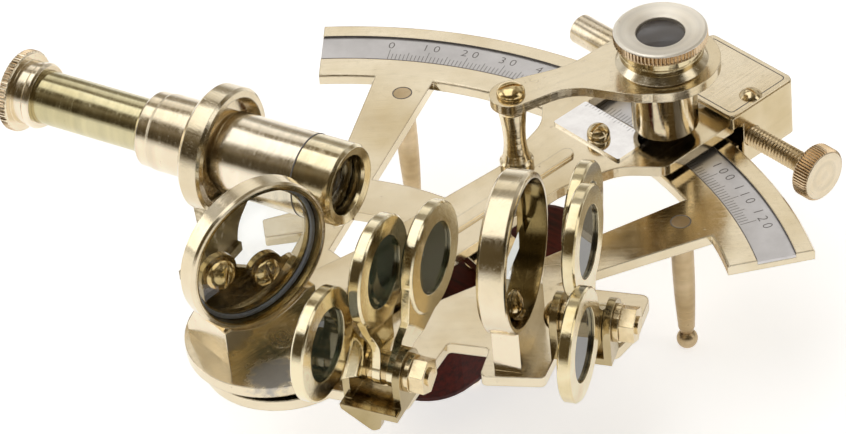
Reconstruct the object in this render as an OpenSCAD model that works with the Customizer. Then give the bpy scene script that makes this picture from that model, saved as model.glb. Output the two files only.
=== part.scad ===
// Pocket sextant lying face up on its feet.
// The pivot of the index arm is worked out at x = 0, y = 0 and the frame's top face at z = 0,
// and place() then sets the whole instrument on the table with its box centred on the origin.

/* [Limb and frame] */
// Outer radius of the limb, from the pivot
arc_r = 90; // [86:0.5:94]
// Width of the limb between its inner and outer edges
limb_w = 15; // [13.5:0.5:16.5]
// Angle from the limb's middle to its left end
limb_left = 38.6; // [36:0.2:40]
// Angle from the limb's middle to its right end
limb_right = 37.4; // [36:0.2:40]
// Thickness of the frame plate and of the limb
plate_t = 2; // [1.6:0.1:2.4]
// Radius of the frame's round apex
apex_r = 13.6; // [13:0.1:14.5]
// Width of each of the frame's two legs where it meets the limb
leg_w = 10.8; // [9:0.2:12.4]
// Width of a leg at the apex
leg_foot_w = 6.4; // [5:0.2:7.4]
// Width of the curved cross bar
bar_w = 9; // [6:0.5:10]
// Radius of the cross bar's middle line
bar_r = 41.5; // [40:0.5:43]

/* [Scale strip] */
// Width of the silvered strip that carries the degrees
strip_w = 6.6; // [5:0.1:7]
// Thickness of the silvered strip
strip_t = 0.5; // [0.3:0.1:0.7]
// Depth of the groove that the strip lies in
groove_depth = 0.8; // [0.7:0.1:1]
// Width of the outer rail, outside the strip
outer_rail_w = 3.3; // [2.5:0.1:4]

/* [Feet and handle] */
// Height of the frame's underside above the table
foot_h = 25.5; // [22:0.5:28]
// Diameter of a foot at its thickest
foot_d = 4.2; // [3.2:0.1:4.6]
// Diameter of the ball at the end of a foot
ball_d = 3.7; // [3.2:0.1:4.4]
// Diameter of the tenon that is riveted into a leg
tenon_d = 3.2; // [2.4:0.1:3.6]
// Thickness of the wooden handle
handle_t = 13; // [11:0.5:13.5]
// Width of the wooden handle
handle_w = 18.6; // [16:0.2:20]
// Distance between the centres of the handle's round ends
handle_run = 27; // [24:0.5:28]
// Height of the pillars between the frame and the handle
pillar_h = 4; // [3:0.5:5]
// Diameter of the pillars
pillar_d = 5; // [4:0.5:6]

/* [Index arm] */
// Angle of the arm from the middle of the limb, as it is set
arm_angle = 6; // [0:0.5:12]
// Radius of the arm's round end over the pivot
hub_r = 14.8; // [14:0.1:15.5]
// Width of the arm's bar
arm_w = 11.4; // [9.5:0.1:12]
// Thickness of the arm
arm_t = 2; // [1.6:0.1:2.4]
// Air between the arm and the frame
arm_gap = 0.8; // [0.6:0.1:1.2]
// Width of the plate at the end of the arm
arm_end_w = 30.6; // [28:0.2:32]
// Diameter of the pin that the arm turns on
pivot_d = 5.2; // [4.6:0.1:6]
// Width of the raised rib along the arm
rib_w = 2.4; // [1.6:0.1:3]
// Height of the raised rib
rib_h = 0.6; // [0.3:0.1:0.9]

/* [Vernier end] */
// Length of the block over the limb, across the arm
block_l = 19.8; // [18:0.2:21]
// Height of the block's top above the arm
block_rise = 2.2; // [1.8:0.1:3]
// Depth of the block below the frame's top face
block_drop = 6; // [5:0.1:7]
// Width of the silvered vernier plate
vernier_w = 7.8; // [6.5:0.1:8]
// Thickness of the bare cover plate
cover_t = 0.5; // [0.4:0.1:0.8]
// Diameter of the tangent screw's thread
tangent_d = 3.7; // [3:0.1:4]
// Diameter of the tangent screw's knob
knob_d = 9.7; // [8:0.1:10.2]
// Diameter of the plain sleeve opposite the knob
sleeve_d = 5.6; // [4.6:0.1:6]
// Thickness of the tangent screw's knob
knob_t = 3.3; // [2.5:0.1:4]

/* [Mirrors] */
// Outer diameter of the mirror rings
mirror_d = 26.8; // [25.5:0.1:27.2]
// Wall of the mirror rings
mirror_wall = 1.2; // [1:0.1:1.6]
// Depth of the index mirror's ring, front to back
index_depth = 3.8; // [3.2:0.1:4.2]
// Depth of the horizon mirror's ring, front to back
horizon_depth = 4.8; // [4.2:0.1:5.2]
// Thickness of the mirror glass
mirror_t = 1.2; // [0.8:0.1:1.4]
// Height of the optical axis above the frame's top face
axis_h = 20.2; // [19.8:0.1:21]
// Angle of the index mirror's plane from the arm
index_turn = 4.5; // [3:0.5:6]
// How far the horizon glass's straight upper edge lies below the optical axis
horizon_glass_drop = 2.6; // [2:0.1:3.2]

/* [Shades] */
// Outer diameter of a shade's ring
shade_d = 18.8; // [17.6:0.1:19.2]
// Clear opening of a shade
shade_bore = 12.2; // [11:0.1:13]
// Thickness of a shade's ring
shade_t = 2.2; // [1.8:0.1:2.3]
// Thickness of a shade's stem
stem_t = 1.4; // [1:0.1:1.5]
// Distance from the bolt to the middle of an index shade
index_reach = 17.3; // [16.8:0.1:17.8]
// Distance from the bolt to the middle of a horizon shade
horizon_reach = 16.4; // [15.8:0.1:17]
// Distance from one shade to the next along the bolt
shade_pitch = 2.5; // [2.4:0.1:2.8]
// Diameter of the bolts
bolt_d = 3; // [2.5:0.1:3]
// Thickness of the bracket's metal
ear_t = 1.3; // [1:0.1:1.5]
// Depth of the bracket's ears
ear_w = 8; // [7:0.1:8.4]
// Height of the bolt above the frame
bolt_h = 6; // [5.6:0.1:6.4]

/* [Telescope] */
// Outer diameter of the telescope's body
tube_d = 14; // [12.5:0.1:14.2]
// Length of the telescope's body, with its objective cell
tube_l = 38.8; // [37:0.2:41]
// Outer diameter of the draw tube
draw_d = 9.3; // [8.4:0.1:9.6]
// Length of draw tube that shows
draw_out = 21.8; // [17:0.2:22.6]
// Diameter of the eyepiece's knurled rim
eye_d = 14.2; // [12.8:0.1:15]
// Diameter of the ring that holds the telescope
holder_d = 21.8; // [20:0.1:22.4]
// Wall of the telescope's tubes
tube_wall = 0.8; // [0.6:0.1:1]

/* [Magnifier] */
// Diameter of the magnifier's knurled cap
cap_d = 16.2; // [15:0.1:17]
// Diameter of the magnifier's barrel
barrel_d = 11.5; // [10.6:0.1:11.8]
// Length of the magnifier, with its cap
magnifier_l = 19.7; // [19.2:0.1:20.4]
// Height of the swing arm's top above the frame's top face
swing_h = 18.5; // [17.6:0.1:19]
// Thickness of the swing arm
swing_t = 1.8; // [1.4:0.1:2.2]
// Diameter of the post's foot
post_d = 5.9; // [5:0.1:6.4]

/* [Fits] */
// Radial clearance of a turning or sliding fit
run_gap = 0.05; // [0.03:0.01:0.08]
// Gap round a piece that is let into another
seat_gap = 0.02; // [0.01:0.01:0.04]

/* [Hidden] */
$fn = 64;

brass = "#d9c48a";
pale_brass = "#e3d3aa";
silver = "#d8dade";
wood = "#4a2020";
glass = "#7f98a0";
mirror_grey = "#b9c2c8";

// Levels above and below the frame's top face
arm_z = arm_gap;
arm_top = arm_z + arm_t;
table_z = -plate_t - foot_h;
handle_top = -plate_t - pillar_h;
swing_z = swing_h - swing_t;
block_top = arm_top + block_rise;

// Places on the frame, from the pivot
limb_in = arc_r - limb_w;
strip_out = arc_r - outer_rail_w;
strip_in = strip_out - strip_w;
foot_left = [-31, 63.5];
foot_right = [31.8, 64.2];
apex_at = [-0.9, 0.5];
hub_at = [-2.9, 0.4];
leg_angle = 26.6;
leg_foot_at = [13.6, 19];
handle_near = [7, 26];
handle_turn = 4.5;
pillar_near = [4.6, 19.6];
pillar_far = bar_r * [sin(8.5), cos(8.5)];
third_foot = [7.7, 34.9];

// Vernier end of the arm, across and along the arm
block_left = -3.2;
block_y = limb_in + 13.3;
tangent_z = -1.1;
block_end = arc_r + 13.8;
block_wall = arc_r + 1.1;
tangent_y = arc_r + 3.2;
knob_x = arm_end_w / 2 + 15.2;
sleeve_left = -arm_end_w / 2 - 12.4;
vernier_y = limb_in - 5.8;
window_y = vernier_y + vernier_w + 0.4;
post_at = [-4.1, limb_in - 18.2];
magnifier_at = [8.1, limb_in + 5.7];
swing_r = norm(magnifier_at - post_at);
barrel_z = 5.1;
cap_top = barrel_z + magnifier_l;

// Frames of the horizon side: the tab's near corner, and the directions along the light path
horizon_azimuth = index_turn - 30;
tab_at = [30.8, 13.3];
tab_w = 10.9;
tab_dir = [cos(horizon_azimuth), -sin(horizon_azimuth)];
tab_back = [sin(horizon_azimuth), cos(horizon_azimuth)];
horizon_nut = [22.3, 11.4];
index_nut = [27, 3.9];
index_bolt_turn = 18;
ear_inner = -3.2;
bracket_in = 3 * shade_pitch + 0.1;
ear_outer = ear_inner - bracket_in - ear_t;
nut_w = 5.5;
// How far the screw under a bracket lies behind the bolt
base_screw_y = 1.7;

// Where each shade stands, as an angle back from upright
index_swings = [-41, 12.5, 47];
horizon_swings = [34, 0, -63];
// How far each shade's ring is set over from its eye, and how much longer its stem is
index_leans = [-1.8, -0.9, 0.8];
horizon_leans = [0, 0, 0];
index_extras = [0, 0, 1.6];

// Telescope, from the front of its objective cell
scope_at = [-1.9, 20.9];
scope_turn = 11.9;
cell_l = 7.6;
eye_l = 5.5;
holder_x = 22.9;
holder_t = 4.5;
collar_d = 13.5;

// The whole instrument's box, for the origin under its middle
draw_back = tube_l + draw_out;
low_x = scope_at[0] - (draw_back + eye_l) * cos(scope_turn) - (eye_d / 2 - 0.4) * sin(scope_turn);
high_x = arc_r * sin(limb_right);
shade_plane = ear_inner - 0.1 - 2 * shade_pitch - stem_t / 2 + index_leans[0] - shade_t / 2 + 0.3;
low_y = index_nut[1] + shade_plane * sin(index_bolt_turn)
  + (index_reach * sin(index_swings[0]) - shade_d / 2) * cos(index_bolt_turn);
high_y = (block_end - 1.2) * cos(arm_angle) - (block_left + 1.2) * sin(arm_angle) + 1.2;
mid_x = (low_x + high_x) / 2;
mid_y = (low_y + high_y) / 2;

function unit(v) = v / norm(v);
function flat(v) = [v[0], v[1]];
// Points of one rounded corner: b is [x, y, radius] between its neighbours a and c
function corner(a, b, c, steps) =
  let (u = unit(flat(a) - flat(b)), v = unit(flat(c) - flat(b)))
  let (half = acos(u * v) / 2)
  let (m = flat(b) + unit(u + v) * b[2] / sin(half))
  let (p = flat(b) + u * b[2] / tan(half) - m)
  let (start = atan2(p[1], p[0]), side = cross(u, v) > 0 ? -1 : 1)
  b[2] == 0 || abs(cross(u, v)) < 0.001 ? [flat(b)]
  : [for (i = [0:steps]) let (a = start + side * (180 - 2 * half) * i / steps) m + b[2] * [cos(a), sin(a)]];
// Outline through vertices [x, y, radius], each corner rounded by its own radius
function rounded(v, steps = 5) =
  [for (i = [0:len(v) - 1]) each corner(v[(i + len(v) - 1) % len(v)], v[i], v[(i + 1) % len(v)], steps)];
function on_tab(across, back) = tab_at + across * tab_dir + back * tab_back;

module place() { translate([-mid_x, -mid_y, -table_z]) children(); }
module on_arm() { rotate([0, 0, -arm_angle]) children(); }
module on_scope() { translate([scope_at[0], scope_at[1], axis_h]) rotate([0, 0, scope_turn]) children(); }
// Frame of a shade bolt: x along the bolt from the nut's middle, y back from the eye, z up
module on_index_bolt() {
  translate([index_nut[0], index_nut[1], 0]) rotate([0, 0, index_bolt_turn]) children();
}
module on_horizon_bolt() {
  translate(concat(on_tab(horizon_nut[0], horizon_nut[1]), [0]))
    rotate([0, 0, -horizon_azimuth]) children();
}
// Frame of a mirror: x is the glass's normal, y runs along its plane
module on_index_mirror() { on_arm() rotate([0, 0, -index_turn]) children(); }
module on_horizon_mirror() {
  translate(concat(on_tab(7, 9.3), [0])) rotate([0, 0, -horizon_azimuth]) children();
}
module slab(outline, low, high) {
  translate([0, 0, low]) linear_extrude(high - low) polygon(outline);
}
module rod(r, low, high) { translate([0, 0, low]) cylinder(r = r, h = high - low); }
// A rod along x
module cross_rod(r, low, high) { translate([low, 0, 0]) rotate([0, 90, 0]) cylinder(r = r, h = high - low); }
// A profile of [radius, distance] points turned about x
module turned_x(profile) { rotate([0, 90, 0]) rotate_extrude() polygon(profile); }
module knurled(r, low, high, teeth, depth) {
  translate([0, 0, low]) linear_extrude(high - low)
    polygon([for (i = [0:2 * teeth - 1])
      (r - (i % 2) * depth) * [cos(180 * i / teeth), sin(180 * i / teeth)]]);
}
// A round head with its slot, standing on z = 0
module dome_head(r, h, slot) {
  ball = (r * r + h * h) / (2 * h);
  difference() {
    intersection() {
      translate([0, 0, h - ball]) sphere(r = ball);
      cylinder(r = r + 1, h = h + 1);
    }
    translate([-r - 1, -slot / 2, h * 0.55]) cube([2 * r + 2, slot, h]);
  }
}
module dome_screw(r, h, slot, shank_r, shank_l) {
  dome_head(r, h, slot);
  translate([0, 0, -shank_l]) cylinder(r = shank_r, h = shank_l + 0.1);
}

module limb() {
  rotate([0, 0, 90 - limb_right]) rotate_extrude(angle = limb_left + limb_right, $fn = 180)
    polygon([
      [limb_in, -plate_t], [arc_r, -plate_t], [arc_r, -0.3], [arc_r - 0.3, 0],
      [strip_out + seat_gap, 0], [strip_out + seat_gap, -groove_depth],
      [strip_in - seat_gap, -groove_depth], [strip_in - seat_gap, 0],
      [limb_in + 0.3, 0], [limb_in, -0.3]]);
}
module leg() {
  half = leg_w / 2 / limb_in * 180 / PI;
  inner_top = leg_angle - half;
  outer_top = leg_angle + half;
  side = unit(limb_in * [sin(leg_angle), cos(leg_angle)] - leg_foot_at);
  across = leg_foot_w / 2 * [side[1], -side[0]];
  outer_mid = (leg_foot_at + across + limb_in * [sin(outer_top), cos(outer_top)]) / 2 + [-1, 0.5];
  slab(rounded([
    concat(leg_foot_at - across, [0]), concat((limb_in + 3) * [sin(inner_top), cos(inner_top)], [0]),
    concat((limb_in + 3) * [sin(outer_top), cos(outer_top)], [0]),
    concat(limb_in * [sin(outer_top), cos(outer_top)], [0]), concat(outer_mid, [60]),
    concat(leg_foot_at + across, [0])]), -plate_t, 0);
}
module cross_bar() {
  bar_half = leg_angle + 2.8;
  rotate([0, 0, 90 - bar_half]) rotate_extrude(angle = 2 * bar_half, $fn = 120)
    translate([bar_r - bar_w / 2, -plate_t]) square([bar_w, plate_t]);
}
// The right side of the frame: a wing for the index shades, a notch, the horizon mirror's tab
// and the lug for the horizon shades
module right_wing() {
  near_edge = 1.8;
  c = cos(index_bolt_turn);
  s = sin(index_bolt_turn);
  low_left = index_nut + [-14 * c + near_edge * s, -14 * s - near_edge * c];
  low_right = index_nut + [-2.6 * c + 0.6 * s, -2.6 * s - 0.6 * c];
  notch_top = 8;
  slab(rounded([
    [4, -6, 0], concat(low_left, [0]), concat(low_right, [1]),
    concat(on_tab(-7.5, notch_top), [0.8]), concat(on_tab(-0.4, notch_top), [0.8]),
    concat(on_tab(-0.2, 1), [1]), concat(on_tab(tab_w - 0.6, 2.5), [1]),
    concat(on_tab(tab_w, 10.9), [0.5]), concat(on_tab(20.2, 11.2), [1.5]),
    concat(on_tab(22.2, 16.8), [4]), concat(on_tab(22.4, 25.8), [1.5]), concat(on_tab(10, 25.6), [2]),
    [22.5, 38, 0], [10, 14, 0]]), -plate_t, 0);
}
// The left side: a wing under the telescope's holder and a lug that runs up to the leg
module left_wing() {
  slab(rounded([[-6, -6, 0], [-25.5, 3.2, 3], [-33.6, 13.6, 2], [-31.8, 17.4, 1.5], [-28.6, 16, 1.5],
    [-24.4, 9.4, 3], [-10, 5, 0]]), -plate_t, 0);
  slab(rounded([[-23.7, 19.6, 0.5], [-27.3, 22.8, 0.5], [-22, 31.5, 0], [-17, 27, 0]]), -plate_t, 0);
}
module frame() {
  color(brass) difference() {
    union() {
      limb();
      leg();
      mirror([1, 0, 0]) leg();
      cross_bar();
      translate(apex_at) rod(apex_r, -plate_t, 0);
      slab(rounded([[-13.6, 3, 0], [-17, 19, 0], [-11.6, 23.6, 0], [0, 21.8, 14], [11.6, 23.6, 0],
        [17, 19, 0], [11.5, 3, 0]]), -plate_t, 0);
      right_wing();
      left_wing();
    }
    rod(pivot_d / 2 + 2 + seat_gap, -plate_t - 1, 1);
    for (p = [foot_left, foot_right]) translate(p) rod(tenon_d / 2 + seat_gap, -plate_t - 1, 1);
    for (p = [pillar_near, pillar_far]) translate(p) rod(screw_r + seat_gap, -plate_t - 1, 1);
    for (p = frame_screw_places) translate(p) rod(screw_r + seat_gap, -plate_t - 1, 1);
  }
}
module scale_strip() {
  color(silver) rotate([0, 0, 90 - limb_right]) rotate_extrude(angle = limb_left + limb_right, $fn = 180)
    translate([strip_in, -groove_depth]) square([strip_w, strip_t]);
}

// A turned foot: its tenon, swelling shank, neck and ball, which is cut flat where it stands
module foot(length) {
  r = foot_d / 2;
  ball = ball_d / 2;
  flat_cut = 0.25;
  ball_z = -length + ball - flat_cut;
  color(pale_brass) difference() {
    union() {
      rotate_extrude() polygon(concat([[0, 0], [r * 0.92, 0]],
        [for (i = [0:8]) let (t = i / 8)
          [r * (0.92 + 0.14 * sin(150 * t) - 0.3 * t), -0.6 - t * (length - ball_d - 1.2)]],
        [[ball * 0.6, ball_z + ball * 0.9], [0, ball_z + ball * 0.9]]));
      translate([0, 0, ball_z]) sphere(r = ball);
    }
    rod(foot_d, -length - 2, -length);
  }
}
module long_foot() {
  translate([0, 0, -plate_t]) foot(foot_h);
  color(pale_brass) rod(tenon_d / 2, -plate_t - 0.1, 0);
}
module left_foot() { translate(foot_left) long_foot(); }
module right_foot() { translate(foot_right) long_foot(); }

screw_r = 1.25;
head_r = 2.3;
module handle_end() {
  r = handle_w / 2;
  e = 1.8;
  rotate_extrude($fn = 36) polygon(concat([[0, -handle_t], [r - e, -handle_t]],
    [for (i = [1:3]) [r - e + e * sin(30 * i), -handle_t + e - e * cos(30 * i)]],
    [for (i = [0:2]) [r - e + e * cos(30 * i), -e + e * sin(30 * i)]],
    [[r - e, 0], [0, 0]]));
}
module handle() {
  color(wood) difference() {
    hull() {
      translate([handle_near[0], handle_near[1], handle_top]) handle_end();
      translate([handle_near[0] + handle_run * sin(handle_turn),
        handle_near[1] + handle_run * cos(handle_turn), handle_top]) handle_end();
    }
    for (p = [pillar_near, pillar_far]) translate(p) {
      rod(screw_r + seat_gap, handle_top - handle_t - 1, handle_top + 1);
      rod(head_r + 0.1, handle_top - handle_t - 1, handle_top - handle_t + 2.2);
    }
    translate(third_foot) rod(screw_r + seat_gap, handle_top - handle_t - 1, handle_top - handle_t + 5);
  }
}
module handle_pillars() {
  color(brass) for (p = [pillar_near, pillar_far]) translate(p) difference() {
    rotate_extrude() polygon([[0, handle_top], [pillar_d / 2, handle_top], [pillar_d / 2, handle_top + 0.8],
      [pillar_d / 2 - 0.7, handle_top + 1.4], [pillar_d / 2 - 0.7, -plate_t - 1.4],
      [pillar_d / 2, -plate_t - 0.8], [pillar_d / 2, -plate_t], [0, -plate_t]]);
    rod(screw_r + seat_gap, handle_top - 1, 0);
  }
}
module handle_screws() {
  color(pale_brass) for (p = [pillar_near, pillar_far]) translate([p[0], p[1], handle_top - handle_t + 2.2])
    mirror([0, 0, 1]) dome_screw(head_r, 1.6, 0.6, screw_r, handle_t - 2.2 + pillar_h + plate_t);
}
module handle_foot() {
  color(pale_brass) translate([third_foot[0], third_foot[1], handle_top - handle_t]) {
    foot(-table_z + handle_top - handle_t);
    rod(screw_r, -0.1, 4.6);
  }
}

module centre_bush() {
  r = pivot_d / 2;
  color(pale_brass) difference() {
    union() {
      rod(r + 2, -plate_t - 3, arm_gap - 0.1);
      rod(r + 3.6, -plate_t - 1.4, -plate_t);
    }
    rod(r + run_gap, -plate_t - 4, arm_gap + 1);
  }
}
module arm_outline(grow = 0) {
  w = arm_w / 2;
  e = arm_end_w / 2;
  right = [[w + 0.6, 8, 0], [w, 22, 0], [w, 58, 13], [9.2, 68.6, 8], [e, 73.6, 3], [e, arc_r + 0.8, 1.2]];
  left = [[-e, arc_r + 0.8, 1.2], [-e, 73.6, 3], [-9.6, 67.8, 8], [-w - 0.7, 56, 13], [-w - 1.5, 42, 60],
    [-w - 2.1, 24, 12], [-w - 3.6, 15, 8], [-w - 5, 8, 0]];
  polygon(rounded(concat(right, left)));
}
module index_arm() {
  color(brass) on_arm() difference() {
    union() {
      translate([0, 0, arm_z]) linear_extrude(arm_t) arm_outline();
      translate(hub_at) rod(hub_r, arm_z, arm_top);
      slab(rounded([[-rib_w / 2, 14, rib_w / 2.1], [rib_w / 2, 14, rib_w / 2.1],
        [rib_w / 2, vernier_y - 3.4, rib_w / 2.1], [-rib_w / 2, vernier_y - 3.4, rib_w / 2.1]]),
        arm_top - 0.2, arm_top + rib_h);
    }
    slab(rounded([[-8.2, window_y, 0.8], [8.2, window_y, 0.8], [8.2, block_y - 0.7, 0.8],
      [-8.2, block_y - 0.7, 0.8]]), arm_z - 1, arm_top + 1);
    rod(pivot_d / 2 + seat_gap, arm_z - 1, arm_top + 1);
    translate(post_at) rod(1.5 + seat_gap, arm_z - 1, arm_top + 1);
    translate([vernier_screw_x, vernier_y + 2.2]) rod(1.1 + seat_gap, arm_z - 1, arm_top + 1);
    for (p = mirror_screw_places) rotate([0, 0, -index_turn]) translate(p) {
      rod(1.1 + seat_gap, arm_z - 1, arm_top + 1);
      rod(flush_head_r + seat_gap, arm_z - 1, arm_z + 0.15 + flush_head_t);
    }
  }
}
module index_pivot() {
  r = pivot_d / 2;
  color(pale_brass) on_arm() difference() {
    rod(r, -plate_t - 3.1, arm_top);
    rod(screw_r + seat_gap, -plate_t - 4, -plate_t + 1.4);
  }
}
module pivot_washer() {
  color(pale_brass) on_arm() difference() {
    rod(pivot_d / 2 + 1.8, -plate_t - 3.9, -plate_t - 3.1);
    rod(screw_r + seat_gap, -plate_t - 5, -plate_t);
  }
}
module pivot_screw() {
  color(pale_brass) on_arm() translate([0, 0, -plate_t - 3.9]) mirror([0, 0, 1])
    dome_screw(head_r, 1.6, 0.6, screw_r, 5);
}

// A mirror's ring, turned about x with its front face at x = 0 and a lip behind the glass
module mirror_ring(depth) {
  r = mirror_d / 2;
  seat = r - mirror_wall;
  translate([0, 0, axis_h]) turned_x([
    [seat - 1, -depth], [r - 0.5, -depth], [r, -depth + 0.5], [r, -0.6],
    [r - 0.25, -0.15], [r - 0.6, 0], [seat, 0], [seat, -depth + 1], [seat - 1, -depth + 1]]);
}
module mirror_glass(depth) {
  translate([0, 0, axis_h])
    cross_rod(mirror_d / 2 - mirror_wall - seat_gap, -depth + 1.02, -depth + 1.02 + mirror_t);
}
// The cast foot of a mirror, hollowed where the ring's bore passes; its back may slope
module mirror_block(back, front, near, far, low, high, slope) {
  difference() {
    translate([0, far, 0]) rotate([90, 0, 0]) linear_extrude(far - near)
      polygon(slope == 0 ? [[back, low], [front, low], [front, high], [back, high]]
        : [[back, low], [front, low], [front, high], [back + slope, high], [back, low + 2]]);
    translate([0, 0, axis_h]) cross_rod(mirror_d / 2 - 0.3, back - 1, front + 1);
  }
}
// The casting of the index mirror: a hollowed block and, behind the ring, a thin upright with a lobe
// round each of its two screws. Lobes are given as [along the mirror, height].
index_mirror_x = -1;
index_mirror_y = -1.6;
mirror_screw_places = [[-9.8, -8.4], [-9.8, 5.4]];
flush_head_r = 1.9;
flush_head_t = 0.9;
lobes = [[-4.7, 16], [4.1, 11.4]];
lobe_r = 3.5;
upright_front = -6.4;
upright_t = 1.2;
slot_turn = 51;
module on_lobe(k) {
  translate([index_mirror_x + upright_front, index_mirror_y + lobes[k][0], lobes[k][1]])
    rotate([0, 90, 0]) rotate([0, 0, slot_turn]) children();
}
module index_upright() {
  translate([upright_front - upright_t, 0, 0]) rotate([90, 0, 90]) linear_extrude(upright_t) {
    polygon(rounded([[-8.2, arm_top, 0], [10.4, arm_top, 0], [10.4, lobes[1][1] + 0.3, 1],
      concat(lobes[1], [0]), concat(lobes[1] + [-2.2, 2], [0]), concat(lobes[0] + [3.2, -0.4], [1.5]),
      concat(lobes[0], [0]), concat(lobes[0] + [-3.4, -0.8], [0])]));
    for (p = lobes) translate(p) circle(r = lobe_r);
  }
}
module index_mirror_frame() {
  color(brass) on_index_mirror() difference() {
    translate([index_mirror_x, index_mirror_y, 0]) {
      mirror_ring(index_depth);
      mirror_block(-11, 0.6, -9, 9.2, arm_top, arm_top + 6.7, 3);
      index_upright();
    }
    for (p = mirror_screw_places) translate(p) rod(1.1 + seat_gap, arm_z, arm_top + 5.2);
    for (k = [0, 1]) on_lobe(k) rod(1.1 + seat_gap, -upright_t - 1, 1);
  }
}
module index_mirror_glass() {
  color(mirror_grey) on_index_mirror()
    translate([index_mirror_x, index_mirror_y, 0]) mirror_glass(index_depth);
}
// Flush-headed screws that come up through the arm into the casting
module index_mirror_screws() {
  color(pale_brass) on_index_mirror() for (p = mirror_screw_places)
    translate([p[0], p[1], arm_z]) difference() {
    union() {
      rod(flush_head_r, 0.15, 0.15 + flush_head_t);
      rod(1.1, flush_head_t, arm_t + 5);
    }
    translate([-3, -0.25, 0]) cube([6, 0.5, 0.5]);
  }
}
// The ball-headed screw with one slot and the cross-slotted screw that show through the index glass
module index_back_screws() {
  color(pale_brass) on_index_mirror() {
    on_lobe(0) dome_screw(2.8, 2.4, 0.7, 1.1, upright_t);
    on_lobe(1) difference() {
      dome_screw(2.3, 1.5, 0.6, 1.1, upright_t);
      translate([-0.3, -3, 0.8]) cube([0.6, 6, 3]);
    }
  }
}
module horizon_mirror_frame() {
  color(brass) on_horizon_mirror() difference() {
    union() {
      mirror_ring(horizon_depth);
      mirror_block(-5.2, -0.6, -6.3, 8.7, 0, 8.6, 0);
    }
    for (y = horizon_screw_y) translate([-2.9, y, 0]) rod(screw_r + seat_gap, -1, 4);
    glass_clip_body(seat_gap);
    translate([0, -1, clip_z]) cross_rod(clip_head_r + 0.1, -2.2, -1);
  }
}
// The horizon glass fills only the lower part of its ring, so the telescope also looks over it
module horizon_mirror_glass() {
  color(mirror_grey) on_horizon_mirror() difference() {
    mirror_glass(horizon_depth);
    translate([-horizon_depth, -mirror_d / 2, axis_h - horizon_glass_drop])
      cube([horizon_depth, mirror_d, mirror_d]);
  }
}
// The round-headed clip let into the ring's wall that holds the horizon glass in its seat
clip_r = 2.5;
clip_head_r = 2.3;
clip_z = axis_h - mirror_d / 2 + 0.6 + clip_r;
module glass_clip_body(grow) {
  translate([0, -1, clip_z]) cross_rod(clip_r + grow, -horizon_depth + 1.02 + mirror_t + 0.02 - grow, -2.1);
}
module horizon_glass_clip() {
  color(brass) on_horizon_mirror() {
    glass_clip_body(0);
    translate([-2.1, -1, clip_z]) rotate([0, 90, 0]) dome_head(clip_head_r, 1, 0.5);
  }
}

vernier_screw_x = 1;
cover_screw_x = [block_left + 2.4, block_left + block_l - 2.2];
cover_screw_y = (block_y + block_end) / 2 - 0.8;
// How far the cover's screws reach into the block, which stays above the sleeve
cover_screw_l = 1.9;
sleeve_y = tangent_y + 1.2;
sleeve_z = -0.2;
module vernier_plate() {
  color(silver) on_arm() difference() {
    slab(rounded([[-8, vernier_y, 0.4], [8, vernier_y, 0.4], [8, vernier_y + vernier_w, 0.4],
      [-8, vernier_y + vernier_w, 0.4]], 3), arm_top, arm_top + 0.5);
    translate([vernier_screw_x, vernier_y + 2.2]) rod(1.1 + seat_gap, arm_top - 1, arm_top + 1);
  }
}
module vernier_screw() {
  color(brass) on_arm() translate([vernier_screw_x, vernier_y + 2.2, arm_top + 0.5]) {
    rod(1.1, -0.5 - arm_t + 0.1, 0.1);
    difference() {
      translate([0, 0, 1.2]) sphere(r = 1.8);
      translate([-0.3, -3, 1.8]) cube([0.6, 6, 3]);
      rod(3, -2, 0);
    }
  }
}
// The block that carries the vernier end over the limb's edge and holds the tangent screw
module vernier_block() {
  color(brass) on_arm() difference() {
    union() {
      slab(rounded([[block_left, block_wall, 0], [block_left + block_l, block_wall, 0],
        [block_left + block_l, block_end, 1.2], [block_left, block_end, 1.2]]), -block_drop, block_top);
      slab(rounded([[block_left, block_y, 0.6], [block_left + block_l, block_y, 0.6],
        [block_left + block_l, block_wall + 1, 0], [block_left, block_wall + 1, 0]]), arm_top, block_top);
    }
    translate([0, tangent_y, tangent_z])
      cross_rod(tangent_d / 2 + run_gap, block_left + 6, block_left + block_l + 1);
    translate([0, sleeve_y, sleeve_z]) cross_rod(sleeve_d / 2 + seat_gap, block_left - 1, block_left + 5);
    for (x = cover_screw_x) translate([x, cover_screw_y, 0])
      rod(0.9 + seat_gap, block_top - cover_screw_l - 0.1, block_top + 1);
    for (x = keeper_x) translate([x, keeper_screw_y, 0])
      rod(0.9 + seat_gap, -block_drop - 1, -block_drop + 4);
  }
}
module cover_plate() {
  inset = 0.2;
  color(pale_brass) on_arm() difference() {
    slab(rounded([[block_left + inset, block_y + inset, 1],
      [block_left + block_l - inset, block_y + inset, 1],
      [block_left + block_l - inset, block_end - inset, 1], [block_left + inset, block_end - inset, 1]]),
      block_top, block_top + cover_t);
    for (x = cover_screw_x) translate([x, cover_screw_y, 0])
      rod(0.9 + seat_gap, block_top - 1, block_top + 2);
  }
}
module cover_screws() {
  color(brass) on_arm() for (x = cover_screw_x)
    translate([x, cover_screw_y, block_top + cover_t]) dome_screw(2, 1.1, 0.45, 0.9, cover_t + cover_screw_l);
}
keeper_x = [block_left + 4, block_left + block_l - 4];
keeper_screw_y = (block_wall + block_end) / 2 + 1.5;
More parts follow.
